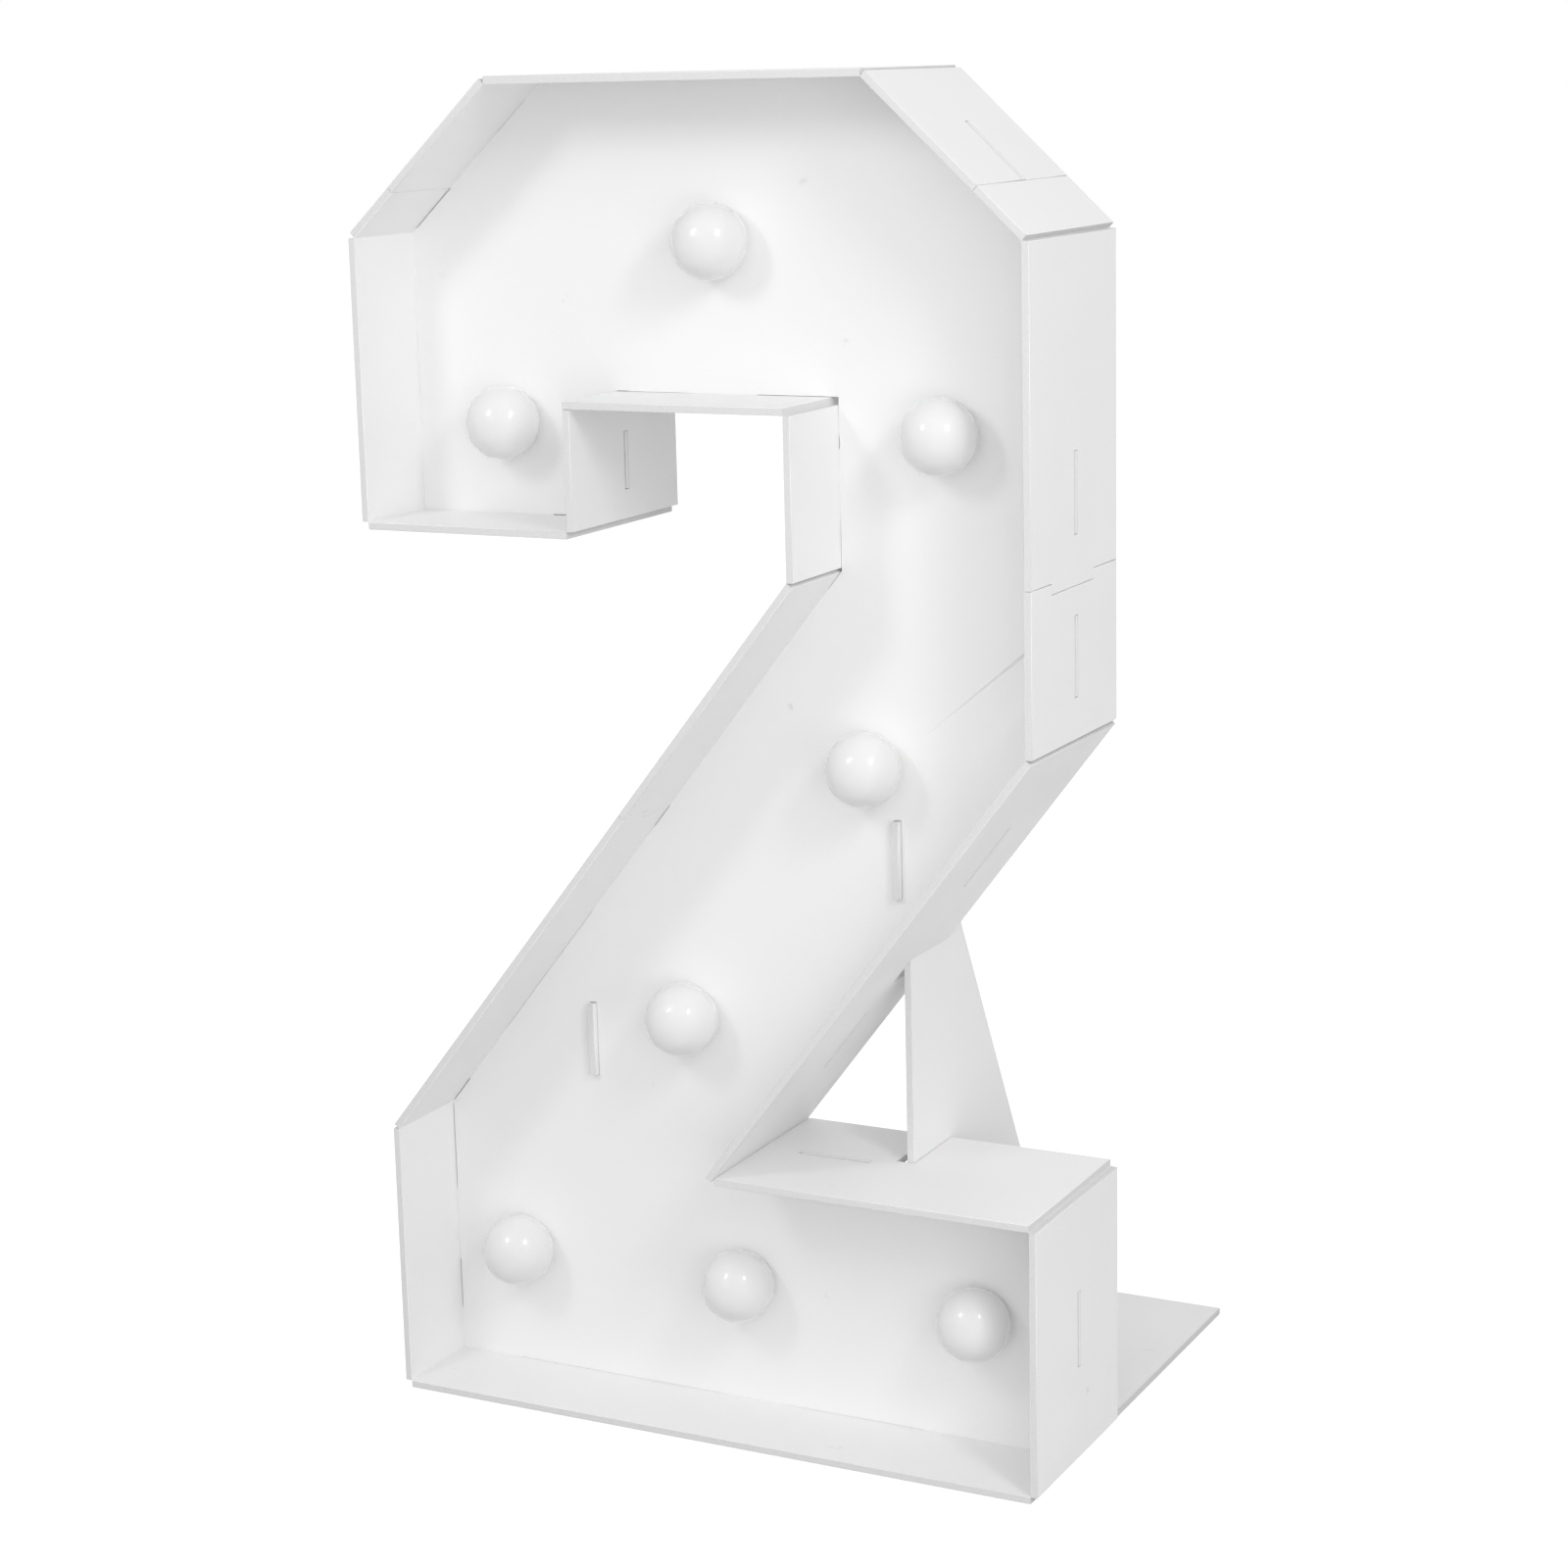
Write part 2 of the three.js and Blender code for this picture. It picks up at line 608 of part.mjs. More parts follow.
// Battery case: three cells side by side, a switch room at the right end, a cover that slides left
const cellPitch = cellDiameter + cellGap;
const cellRoom = 2 * contactThickness + cellNubLength + buttonHeight + cellLength + springLength + 4 * seat;
const switchRoom = switchBodyLength + 2 * seat;
const roomWidth = cellPitch * cellCount;
const caseRight = finX - boardThickness / 2 - caseFinGap;
const caseLeft = caseRight - 3 * endWall - cellRoom - switchRoom;
const roomLeft = caseLeft + endWall;
const roomRight = roomLeft + cellRoom;
const caseHigh = baseLampHeight - caseLampDrop;
const roomHigh = caseHigh - sideWall;
const roomLow = roomHigh - roomWidth;
const caseLow = roomLow - sideWall;
const feedHeight = roomLow + leadHoleInset;
const caseFront = panelBack + seat + padThickness + seat;
const roomFront = caseFront + caseFloor;
const cellDepth = roomFront + seat + cellDiameter / 2;
const coverFront = cellDepth + cellDiameter / 2 + seat;
const coverBack = coverFront + coverThickness;
const caseBack = coverBack + seat + caseRoof;
const switchLeft = roomRight + endWall;
const switchRight = switchLeft + switchRoom;
const switchMiddle = (switchLeft + switchRight) / 2;
const sliderDepth = (roomFront + coverFront) / 2;
const cellHeight = (index) => roomLow + cellPitch * (index + 0.5);
const nubAtRight = (index) => index % 2 === 0;

function batteryCase() {
  const shell = solid(block([caseLeft, caseFront, caseLow], [caseRight, caseBack, caseHigh]));
  const cells = block([roomLeft, roomFront, roomLow], [roomRight, caseBack + overrun, roomHigh]);
  const grooves = block([caseLeft - overrun, coverFront - seat, roomLow - grooveDepth - seat],
    [roomRight, coverBack + seat, roomHigh + grooveDepth + seat]);
  const mouth = block([caseLeft - overrun, coverFront - seat, roomLow],
    [roomRight, caseBack + overrun, roomHigh]);
  const room = block([switchLeft, roomFront, roomLow], [switchRight, caseBack - caseRoof, roomHigh]);
  const stemHalf = sliderStem / 2 + seat;
  const window = block(
    [switchMiddle - switchTravel / 2 - stemHalf, sliderDepth - stemHalf, roomHigh - overrun],
    [switchMiddle + switchTravel / 2 + stemHalf, sliderDepth + stemHalf, caseHigh + overrun]);
  const holeLength = endWall + 2 * overrun;
  const leadHole = new THREE.CylinderGeometry(leadHoleRadius, leadHoleRadius, holeLength, nubSides)
    .rotateZ(Math.PI / 2).translate(caseRight - endWall / 2, faceRecess + nubDepth, feedHeight);
  return geometryOf(cut(shell, cells, grooves, mouth, room, window, leadHole));
}

function batteryCover() {
  const plate = solid(block([caseLeft, coverFront, roomLow - grooveDepth],
    [roomRight - seat, coverBack, roomHigh + grooveDepth]));
  const middle = (roomLow + roomHigh) / 2;
  const grips = Array.from({ length: gripCount }, (_, i) => {
    const left = caseLeft + gripInset + i * gripPitch;
    return block([left, coverBack - gripHeight, middle - gripLength / 2],
      [left + gripWidth, coverBack + gripHeight, middle + gripLength / 2]);
  });
  return geometryOf(join(plate, ...grips));
}

function batteryPad() {
  return block([caseLeft + padInset, panelBack + seat, caseLow + padInset],
    [caseRight - padInset, panelBack + seat + padThickness, caseHigh - padInset]);
}

// A cell lies along x. Its flat end meets a spring, and its nub meets a pressed button.
function cell(index) {
  const nubTip = cellLength + cellNubLength;
  const profile = [[0, 0], [cellDiameter / 2, 0], [cellDiameter / 2, cellLength],
    [cellNubRadius, cellLength], [cellNubRadius, nubTip], [0, nubTip]];
  const flatEnd = contactThickness + springLength + 2 * seat;
  const body = turned(profile, cellSides).rotateZ(-Math.PI / 2).translate(flatEnd, 0, 0);
  if (!nubAtRight(index)) body.rotateY(Math.PI).translate(cellRoom, 0, 0);
  return body.translate(roomLeft, cellDepth, cellHeight(index));
}

// A cone of spring wire that stands on a contact plate
class SpringPath extends THREE.Curve {
  getPoint(t, target = new THREE.Vector3()) {
    const angle = t * springTurns * Math.PI * 2;
    const radius = THREE.MathUtils.lerp(springBaseRadius, springTipRadius, t);
    const height = t * (springLength - springWireRadius);
    return target.set(height, radius * Math.cos(angle), radius * Math.sin(angle));
  }
}

const contactSpring = () => wire(
  new SpringPath(), springWireRadius, springSides, Math.round(springTurns * springStepsPerTurn));

// A button pressed out of a contact plate, drawn with its root inside the plate
function contactButton() {
  const length = buttonHeight + contactThickness / 2;
  return new THREE.CylinderGeometry(buttonRadius / 2, buttonRadius, length, buttonSides)
    .rotateZ(-Math.PI / 2).translate(buttonHeight - length / 2, 0, 0);
}

// A contact plate at the left or right wall of the cell room, serving cells first to last
function contact(atRight, first, last) {
  const margin = cellPitch / 2 - contactMargin;
  const depth = cellDiameter / 2 - contactMargin;
  const low = [seat, -depth, cellHeight(first) - margin];
  const high = [seat + contactThickness, depth, cellHeight(last) + margin];
  let body = solid(block(low, high));
  for (let index = first; index <= last; index += 1) {
    const springHere = nubAtRight(index) !== atRight;
    const piece = springHere ? contactSpring() : contactButton();
    body = join(body, piece.translate(seat + contactThickness, 0, cellHeight(index)));
  }
  const placed = geometryOf(body);
  if (atRight) placed.rotateZ(Math.PI).translate(cellRoom, 0, 0);
  return placed.translate(roomLeft, cellDepth, 0);
}

// The slide switch: a body under the case's top wall and a slider whose knob stands above it
function switchBody() {
  const top = roomHigh - seat;
  const body = solid(block(
    [switchMiddle - switchBodyLength / 2, sliderDepth - switchBodyWidth / 2, top - switchBodyHeight],
    [switchMiddle + switchBodyLength / 2, sliderDepth + switchBodyWidth / 2, top]));
  const half = sliderStem / 2 + seat;
  const groove = block(
    [switchMiddle - switchTravel / 2 - half, sliderDepth - half, top - sliderFoot - seat],
    [switchMiddle + switchTravel / 2 + half, sliderDepth + half, top + overrun]);
  return geometryOf(cut(body, groove));
}

function switchSlider() {
  const middle = switchMiddle - switchTravel / 2;
  const stem = solid(block(
    [middle - sliderStem / 2, sliderDepth - sliderStem / 2, roomHigh - seat - sliderFoot],
    [middle + sliderStem / 2, sliderDepth + sliderStem / 2, caseHigh + knobHeight]));
  const knob = block(
    [middle - knobLength / 2, sliderDepth - knobWidth / 2, caseHigh + seat],
    [middle + knobLength / 2, sliderDepth + knobWidth / 2, caseHigh + seat + knobHeight]);
  return geometryOf(join(stem, knob));
}

// Assembly
const number = new THREE.Group();
number.position.y = -footDepth / 2;

function place(parent, name, geometry, material) {
  const mesh = new THREE.Mesh(geometry, material);
  mesh.name = name;
  parent.add(mesh);
}

place(number, 'face_panel', facePanel(), boardWhite);
place(number, 'top_strip', topStrip(), boardWhite);
place(number, 'right_upper_strip', rightUpperStrip(), boardWhite);
place(number, 'right_lower_strip', rightLowerStrip(), boardWhite);
place(number, 'base_strip', baseStrip(), boardWhite);
place(number, 'notch_strip', notchStrip(), boardWhite);
place(number, 'left_strip', leftStrip(), boardWhite);
for (const one of fins) place(number, one.name, fin(one), boardWhite);

lamps.forEach((lamp, i) => {
  const site = new THREE.Group();
  site.position.set(lamp.x, faceRecess, lamp.z);
  place(site, `globe_${i + 1}`, ball(), opalWhite);
  place(site, `holder_${i + 1}`, holder(lamp), holderWhite);
  place(site, `led_${i + 1}`, led(), ledAmber);
  number.add(site);
});

// Each lead runs from one holder to the next, and the last from the battery case to the last holder
lamps.slice(1).forEach((next, i) => {
  const from = nubEnd(lamps[i], 1);
  const to = nubEnd(next, -1);
  place(number, `lead_${i + 1}`, lead(from.point, from.direction, to.point, to.direction), wireWhite);
});
const feedEnd = nubEnd(lamps[lamps.length - 1], 1);
const feedStart = new THREE.Vector2(caseRight + seat, feedHeight);
place(number, `lead_${lamps.length}`,
  lead(feedStart, new THREE.Vector2(1, 0), feedEnd.point, feedEnd.direction), wireWhite);

place(number, 'battery_pad', batteryPad(), padWhite);
place(number, 'battery_case', batteryCase(), holderWhite);
place(number, 'battery_cover', batteryCover(), holderWhite);
for (let i = 0; i < cellCount; i += 1) place(number, `cell_${i + 1}`, cell(i), cellGreen);
place(number, 'contact_link_left', contact(false, 0, 1), contactMetal);
place(number, 'contact_end_left', contact(false, 2, 2), contactMetal);
place(number, 'contact_end_right', contact(true, 0, 0), contactMetal);
place(number, 'contact_link_right', contact(true, 1, 2), contactMetal);
place(number, 'switch_body', switchBody(), holderWhite);
place(number, 'switch_slider', switchSlider(), holderWhite);

export default number;
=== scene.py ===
import json
import math

import bmesh
import bpy
from mathutils import Matrix, Vector
from mathutils.bvhtree import BVHTree

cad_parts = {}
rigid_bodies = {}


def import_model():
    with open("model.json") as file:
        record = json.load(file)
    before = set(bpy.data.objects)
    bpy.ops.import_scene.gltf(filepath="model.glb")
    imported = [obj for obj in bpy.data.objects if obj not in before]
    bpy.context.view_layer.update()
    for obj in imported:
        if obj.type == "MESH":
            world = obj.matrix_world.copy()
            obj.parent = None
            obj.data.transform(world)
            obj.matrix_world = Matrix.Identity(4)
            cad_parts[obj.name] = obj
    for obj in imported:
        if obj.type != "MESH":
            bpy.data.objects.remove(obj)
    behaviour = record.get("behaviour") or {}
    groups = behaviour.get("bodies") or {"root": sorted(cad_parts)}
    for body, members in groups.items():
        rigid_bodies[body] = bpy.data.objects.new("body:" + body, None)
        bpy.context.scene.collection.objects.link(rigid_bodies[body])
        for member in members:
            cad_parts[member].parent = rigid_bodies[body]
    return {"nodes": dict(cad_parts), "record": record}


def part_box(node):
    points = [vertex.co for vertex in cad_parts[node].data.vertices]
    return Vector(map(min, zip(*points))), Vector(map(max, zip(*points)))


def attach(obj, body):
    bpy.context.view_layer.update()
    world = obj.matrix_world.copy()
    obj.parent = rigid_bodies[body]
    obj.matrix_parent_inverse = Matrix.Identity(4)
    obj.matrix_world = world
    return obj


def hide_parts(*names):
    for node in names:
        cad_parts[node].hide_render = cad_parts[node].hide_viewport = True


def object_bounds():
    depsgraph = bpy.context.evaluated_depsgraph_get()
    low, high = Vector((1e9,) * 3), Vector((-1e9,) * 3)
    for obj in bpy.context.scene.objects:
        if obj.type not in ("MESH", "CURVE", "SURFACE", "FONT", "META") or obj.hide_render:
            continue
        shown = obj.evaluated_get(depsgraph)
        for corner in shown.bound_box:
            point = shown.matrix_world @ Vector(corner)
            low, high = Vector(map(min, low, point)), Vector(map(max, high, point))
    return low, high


for leftover in list(bpy.data.objects):
    bpy.data.objects.remove(leftover)
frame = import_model()
cad_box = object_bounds()
mm = 0.001
unmoved = Matrix.Identity(4)

# Camera, fitted to the photograph
camera_place = Vector((1.018, -2.0128, 0.9205))
camera_turn = math.radians(27.33)  # to the left of straight ahead
camera_dip = math.radians(12.43)  # below level
camera_roll = math.radians(-1.36)
camera_lens = 75.54  # on a sensor 36 wide

# Boards
board_thickness = 5 * mm
weld = 0.01 * mm
flat_turn = math.radians(0.5)  # faces that turn less than this are one flat face
edge_turn = math.radians(20)
squareness = 0.5  # share of a normal along an axis, past which its face is square to that axis
skin_share = 1.6  # faces wider than this many thicknesses carry the skin, narrower ones are cut edges
board_rim = 0.3 * mm  # how far the skin rolls over a cut edge
longest_slot = 54 * mm
rim_steps = 2
panel_play = -0.2 * mm  # the panel sits at the front of its slots
panel_gap = (0.45 * mm, 0.8 * mm)  # what lies between the panel's edge and a wall
panel_close = 0.59 * mm  # how much of that gap its edge takes up, but for the slits
slit_taper = 3 * mm
slit_reach = 3 * mm  # how far aside of its line a slit still opens the gap
straight_on = 0.98  # two of the panel's edge faces that turn less than this are one run
tip_turn = math.radians(60)  # the corners of a tab's tip turn at least this much
tip_length = 3.65 * mm
tip_give = 2.4 * mm  # how far a tab's tip is pared away at its front
tip_narrowing = 0.6 * mm  # and at each side
slits = (  # from x, z to x, z in mm, and how open the slit stands
    (-234, 813.5, -205, 841, 1.0), (-167, 876, -148, 894, 0.3), (-134, 623, -125, 623, 1.0),
    (-82, 708, -75, 708, 1.0), (-75, 708, -29, 708, 0.35), (23, 708, 82, 708, 0.55),
    (82.5, 681, 82.5, 673, 1.0), (82.5, 624, 82.5, 595, 0.5), (82, 594, 73, 583, 0.55),
    (-54, 425, -65, 411, 0.8), (-119, 345, -191, 255, 0.3), (-225, 212, -238, 196, 1.0),
    (-238.5, 190, -238.5, 129, 1.0), (-238.5, 72, -238.5, 38, 1.0), (-190, 7, -26, 7, 0.3),
    (26, 7, 130, 7, 0.3))

# Balls and the lamp holders behind them. Depths are from the front of the panel, to the rear positive.
panel_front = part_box("face_panel")[0].y
seat = 0.3 * mm
ball_radius = 25 * mm
ball_rim_radius = 16.6 * mm
ball_wall = 1.2 * mm
ball_rim_round = 0.5 * mm
ball_rim_ease = 2  # degrees of the ball that its rounded rim takes up
ball_rim_steps = 4
neck_radius = 10.5 * mm
neck_wall = 1.3 * mm
neck_reach = 8 * mm
ball_sides = 96
ball_arc_steps = 40
ball_count = 8

barrel_radius = 10.2 * mm
bore_radius = 8.3 * mm
led_seat_radius = 7.2 * mm
flange_radius = 15.5 * mm
flange_thickness = 2.3 * mm
cup_radius = 12.5 * mm
cup_depth = 13 * mm
cup_floor = 1.6 * mm
led_seat_depth = 4.2 * mm
holder_sides = 64
edge_round = 0.4 * mm
nub_radius = 2.2 * mm
nub_reach = 17 * mm
nub_sides = 28
nub_rib_count = 3
nub_rib = 0.75 * mm
nub_rib_pitch = 1.3 * mm
nub_groove_depth = 0.45 * mm
nub_round = 0.25 * mm
nub_depth = board_thickness + seat + flange_thickness + seat + nub_radius

led_board_thickness = 1.6 * mm
led_stem_radius = 3 * mm
led_stem_reach = 3 * mm
led_lens_radius = 2.5 * mm
led_lens_reach = 8 * mm
led_sides = 40
led_board_round = 0.15 * mm
led_stem_round = 0.3 * mm
led_dome_steps = 10

# The lead between two holders: a flat twin cord
solid_lead_radius = 1.2 * mm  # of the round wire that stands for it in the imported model
lead_half_width = 1.15 * mm
lead_half_height = 0.56 * mm
lead_waist_share = 0.7
lead_lobe_share = 1.45
lead_sides = 28
lead_steps = 56
lead_dip = 3.2 * mm
lead_pull_share = 0.36
lead_headings = (37, 0, -71, -116, -127, -63, 0, 0)  # degrees, of the lead that leaves each holder

# Battery case
case_round = 0.5 * mm
pad_round = 0.3 * mm
cover_round = 0.25 * mm
switch_round = 0.3 * mm
fine_round = 0.12 * mm
eased_length = 2 * mm  # edges shorter than this stay sharp
knob_eased_length = 1.5 * mm
cover_grip_height = 0.6 * mm
cell_sides = 64
cell_radius = 7.1 * mm
cell_nub_radius = 2.75 * mm
cell_nub_length = 1.2 * mm
cell_crimp = 1.1 * mm
cell_count = 3
jacket_wall = 0.2 * mm
jacket_round = 0.35 * mm
can_step = 0.5 * mm  # the can stands in from its jacket's side
can_inset = 0.15 * mm  # and from its ends
can_round = 0.3 * mm
contact_thickness = 0.5 * mm
spring_turns = 4.5
spring_wire = 0.35 * mm
spring_base = 4.6 * mm
spring_tip = 3 * mm
spring_steps_per_turn = 28
spring_sides = 10
button_height = 0.8 * mm
button_radius = 3 * mm
button_round = 0.3 * mm
button_sides = 40
arrow_length = 9 * mm
arrow_width = 12 * mm
arrow_height = 0.35 * mm

# The studio
soft_box_distance = 1.67
soft_box_height = 1.6
aim_height = 0.45
room_level = 0.66
left_watts = 4.9
right_watts = 7
front_watts = 15
low_watts = 6
floor_white = 0.55
floor_lift = 0.74
floor_half = 14
floor_drop = 0.4 * mm


def show(made):
    bpy.context.scene.collection.objects.link(made)


def camera():
    """The photograph's camera: no shift, no depth of field."""
    ahead = Vector((-math.sin(camera_turn) * math.cos(camera_dip),
                    math.cos(camera_turn) * math.cos(camera_dip), -math.sin(camera_dip)))
    right = Vector((math.cos(camera_turn), math.sin(camera_turn), 0))
    up = right.cross(ahead)
    rolled_right = right * math.cos(camera_roll) + up * math.sin(camera_roll)
    rolled_up = up * math.cos(camera_roll) - right * math.sin(camera_roll)
    data = bpy.data.cameras.new("camera")
    data.lens = camera_lens
    data.sensor_width = 36
    data.clip_start = 0.05
    data.clip_end = 60
    eye = bpy.data.objects.new("camera", data)
    turn = Matrix((rolled_right, rolled_up, -ahead)).transposed().to_4x4()
    eye.matrix_world = Matrix.Translation(camera_place) @ turn
    show(eye)
    bpy.context.scene.camera = eye


# Materials

soft_noise = (0.3, 0.7)  # between these lies nearly all of a soft noise


class Finish:
    """A material being wired: its nodes, and short ways to add and join them."""

    def __init__(self, name):
        self.material = bpy.data.materials.new(name)
        self.material.use_nodes = True
        self.tree = self.material.node_tree
        self.tree.nodes.clear()
        self.output = self.tree.nodes.new("ShaderNodeOutputMaterial")
        self.shader = self.tree.nodes.new("ShaderNodeBsdfPrincipled")
        self.link(self.shader.outputs["BSDF"], self.output.inputs["Surface"])
        self.place = self.add("ShaderNodeTexCoord").outputs["Object"]

    def add(self, kind, **settings):
        node = self.tree.nodes.new(kind)
        for key, value in settings.items():
            setattr(node, key, value)
        return node

    def link(self, source, target):
        self.tree.links.new(source, target)

    def put(self, **values):
        """Sets the shader's own sockets: names are written with _ for a space."""
        for key, value in values.items():
            self.shader.inputs[key.replace("_", " ")].default_value = value

    def stretched(self, scale):
        """The place on the piece, stretched by a scale along each axis."""
        mapping = self.add("ShaderNodeMapping")
        mapping.inputs["Scale"].default_value = scale
        self.link(self.place, mapping.inputs["Vector"])
        return mapping.outputs["Vector"]

    def noise(self, size, detail, place=None):
        """Soft noise whose blobs are about size metres across."""
        node = self.add("ShaderNodeTexNoise")
        node.inputs["Scale"].default_value = 1 / size
        node.inputs["Detail"].default_value = detail
        self.link(place or self.place, node.inputs["Vector"])
        return node.outputs["Fac"]

    def cells(self, size):
        """Distance to the nearest cell centre, for cells about size metres across."""
        node = self.add("ShaderNodeTexVoronoi")
        node.inputs["Scale"].default_value = 1 / size
        self.link(self.place, node.inputs["Vector"])
        return node.outputs["Distance"]

    def ramp(self, value, low, high, out_low, out_high):
        node = self.add("ShaderNodeMapRange", interpolation_type="SMOOTHSTEP")
        node.inputs["From Min"].default_value = low
        node.inputs["From Max"].default_value = high
        node.inputs["To Min"].default_value = out_low
        node.inputs["To Max"].default_value = out_high
        self.link(value, node.inputs["Value"])
        return node.outputs["Result"]

    def math(self, operation, first, second):
        node = self.add("ShaderNodeMath", operation=operation)
        for socket, value in zip(node.inputs, (first, second)):
            if isinstance(value, (int, float)):
                socket.default_value = value
            else:
                self.link(value, socket)
        return node.outputs["Value"]

    def mix(self, share, first, second):
        """A colour between first and second, each a colour or a socket."""
        node = self.add("ShaderNodeMix", data_type="RGBA")
        self.link(share, node.inputs["Factor"])
        for socket, value in ((node.inputs[6], first), (node.inputs[7], second)):
            if hasattr(value, "links"):
                self.link(value, socket)
            else:
                socket.default_value = (*value, 1)
        return node.outputs[2]

    def bump(self, height, distance, strength):
        node = self.add("ShaderNodeBump")
        node.inputs["Distance"].default_value = distance
        node.inputs["Strength"].default_value = strength
        self.link(height, node.inputs["Height"])
        self.link(node.outputs["Normal"], self.shader.inputs["Normal"])

    def colour(self, socket):
        self.link(socket, self.shader.inputs["Base Color"])

    def roughness(self, clouds, low, high, soft=soft_noise):
        """Roughness between two values, as soft noise has it."""
        self.link(self.ramp(clouds, *soft, low, high), self.shader.inputs["Roughness"])


def board_skin():
    """The pressed face of the foamed sheet: satin, very finely pebbled, with a few faint scuffs."""
    finish = Finish("board skin")
    finish.put(IOR=1.5, Specular_IOR_Level=0.4)
    clouds = finish.ramp(finish.noise(180 * mm, 3), *soft_noise, 0, 1)
    sheet = finish.mix(clouds, [0.872] * 3, [0.886] * 3)
    patches = finish.ramp(finish.noise(26 * mm, 1), 0.74, 0.8, 0, 1)
    streaks = finish.ramp(finish.noise(5 * mm, 4), 0.45, 0.7, 0, 0.5)
    scuffs = finish.math("MULTIPLY", patches, streaks)
    finish.colour(finish.mix(scuffs, sheet, [0.64] * 3))
    finish.roughness(finish.noise(40 * mm, 3), 0.4, 0.48)
    swells = finish.math("MULTIPLY", finish.noise(5 * mm, 2), 0.6)
    pebbles = finish.math("ADD", finish.noise(0.9 * mm, 1), swells)
    finish.bump(pebbles, 0.02 * mm, 0.6)
    return finish.material


def board_core_and_painted_shade():
    """A cut edge of the sheet: matt, greyer, with the fine closed cells of the foam. Its grey is partly
    the cut foam's own and partly painted shade, set darker than the foam alone for edges that lie in
    shadow.
    """
    finish = Finish("board core")
    finish.put(IOR=1.45, Specular_IOR_Level=0.25)
    cells = finish.cells(0.55 * mm)
    pores = finish.ramp(cells, 0.1, 0.75, 0, 1)
    # painted shade: this grey is set darker than the cut foam's own, to stand in for the shadow on cut
    # edges
    finish.colour(finish.mix(pores, [0.69] * 3, [0.76] * 3))
    finish.roughness(finish.noise(3 * mm, 3), 0.72, 0.88)
    finish.bump(cells, 0.05 * mm, 0.5)
    return finish.material


def clouded(name, colour, rough, grain, **sockets):
    """A finish whose colour, roughness and grain each follow a soft noise of their own."""
    finish = Finish(name)
    finish.put(**sockets)
    finish.colour(finish.mix(finish.noise(*colour[:2]), *colour[2:]))
    finish.roughness(finish.noise(*rough[:2]), *rough[2:])
    finish.bump(finish.noise(*grain[:2]), *grain[2:])
    return finish


def opal():
    """Glossy opal plastic that lets a little light into its wall."""
    finish = clouded("opal ball", (14 * mm, 2, (0.958, 0.958, 0.955), (0.968, 0.968, 0.965)),
                     (9 * mm, 3, 0.15, 0.18, (0.35, 0.7)), (7 * mm, 1, 0.02 * mm, 0.3),
                     IOR=1.49, Subsurface_Weight=0.6, Subsurface_Scale=0.004)
    finish.put(Subsurface_Radius=(1, 1, 1))
    return finish.material


def holder_plastic():
    """White moulded plastic with a light spark-eroded grain."""
    return clouded("holder plastic", (12 * mm, 2, (0.82, 0.82, 0.81), (0.84, 0.84, 0.83)),
                   (6 * mm, 2, 0.36, 0.46), (0.35 * mm, 2, 0.02 * mm, 0.5),
                   IOR=1.5, Specular_IOR_Level=0.45).material


def lead_sheath():
    """Soft white sheath of the twin lead, a little waxy."""
    return clouded("lead sheath", (8 * mm, 2, (0.8, 0.8, 0.78), (0.83, 0.83, 0.81)),
                   (4 * mm, 2, 0.38, 0.5), (1.2 * mm, 2, 0.02 * mm, 0.5), IOR=1.48).material


def foam_tape():
    """White double-sided foam tape with open cells at its sides."""
    finish = Finish("foam tape")
    finish.colour(finish.mix(finish.noise(2 * mm, 3), (0.66, 0.66, 0.65), (0.76, 0.76, 0.75)))
    finish.put(Roughness=0.95, Specular_IOR_Level=0.2)
    finish.bump(finish.cells(0.5 * mm), 0.12 * mm, 0.8)
    return finish.material


def phosphor():
    """The unlit lens of the LED: clear resin over a warm phosphor."""
    finish = Finish("led resin")
    finish.put(IOR=1.52, Subsurface_Weight=0.4, Subsurface_Scale=0.002,
               Coat_Weight=0.6, Coat_Roughness=0.05)
    finish.colour(finish.mix(finish.noise(1.5 * mm, 2), (0.86, 0.72, 0.38), (0.9, 0.8, 0.5)))
    finish.roughness(finish.noise(1 * mm, 2), 0.16, 0.24)
    return finish.material


def solder_mask():
    """The white lacquer of the LED's small round board."""
    finish = Finish("led board lacquer")
    finish.colour(finish.mix(finish.noise(2 * mm, 2), (0.78, 0.79, 0.78), (0.84, 0.85, 0.84)))
    finish.put(Roughness=0.3, IOR=1.5)
    finish.bump(finish.noise(0.6 * mm, 2), 0.01 * mm, 0.5)
    return finish.material


def cell_jacket():
    """Shrunk plastic jacket of a cell, plain green with a fine pull in its lacquer."""
    finish = Finish("cell jacket")
    streaks = finish.noise(2 * mm, 3, finish.stretched((0.1, 1, 1)))
    finish.colour(finish.mix(streaks, (0.035, 0.09, 0.062), (0.05, 0.125, 0.085)))
    finish.roughness(streaks, 0.26, 0.4)
    finish.put(Metallic=0.35, Coat_Weight=0.5, Coat_Roughness=0.15)
    finish.bump(streaks, 0.02 * mm, 0.5)
    return finish.material


def steel(name, colour, rough):
    """Nickel-plated steel with a fine drawn grain."""
    finish = Finish(name)
    grain = finish.noise(0.5 * mm, 3, finish.stretched((0.15, 1, 1)))
    light = tuple(min(1, c * 1.06) for c in colour)
    finish.colour(finish.mix(grain, colour, light))
    finish.roughness(grain, rough, rough + 0.1)
    finish.put(Metallic=1.0)
    finish.bump(grain, 0.01 * mm, 0.5)
    return finish.material


skin = board_skin()
cut_foam_and_painted_shade = board_core_and_painted_shade()
opal_white = opal()
moulded_white = holder_plastic()
sheath_white = lead_sheath()
tape_white = foam_tape()
amber = phosphor()
lacquer = solder_mask()
jacket_green = cell_jacket()
nickel = steel("contact metal", (0.66, 0.66, 0.68), 0.22)
can_steel = steel("cell steel", (0.6, 0.6, 0.61), 0.28)


# Making and placing pieces

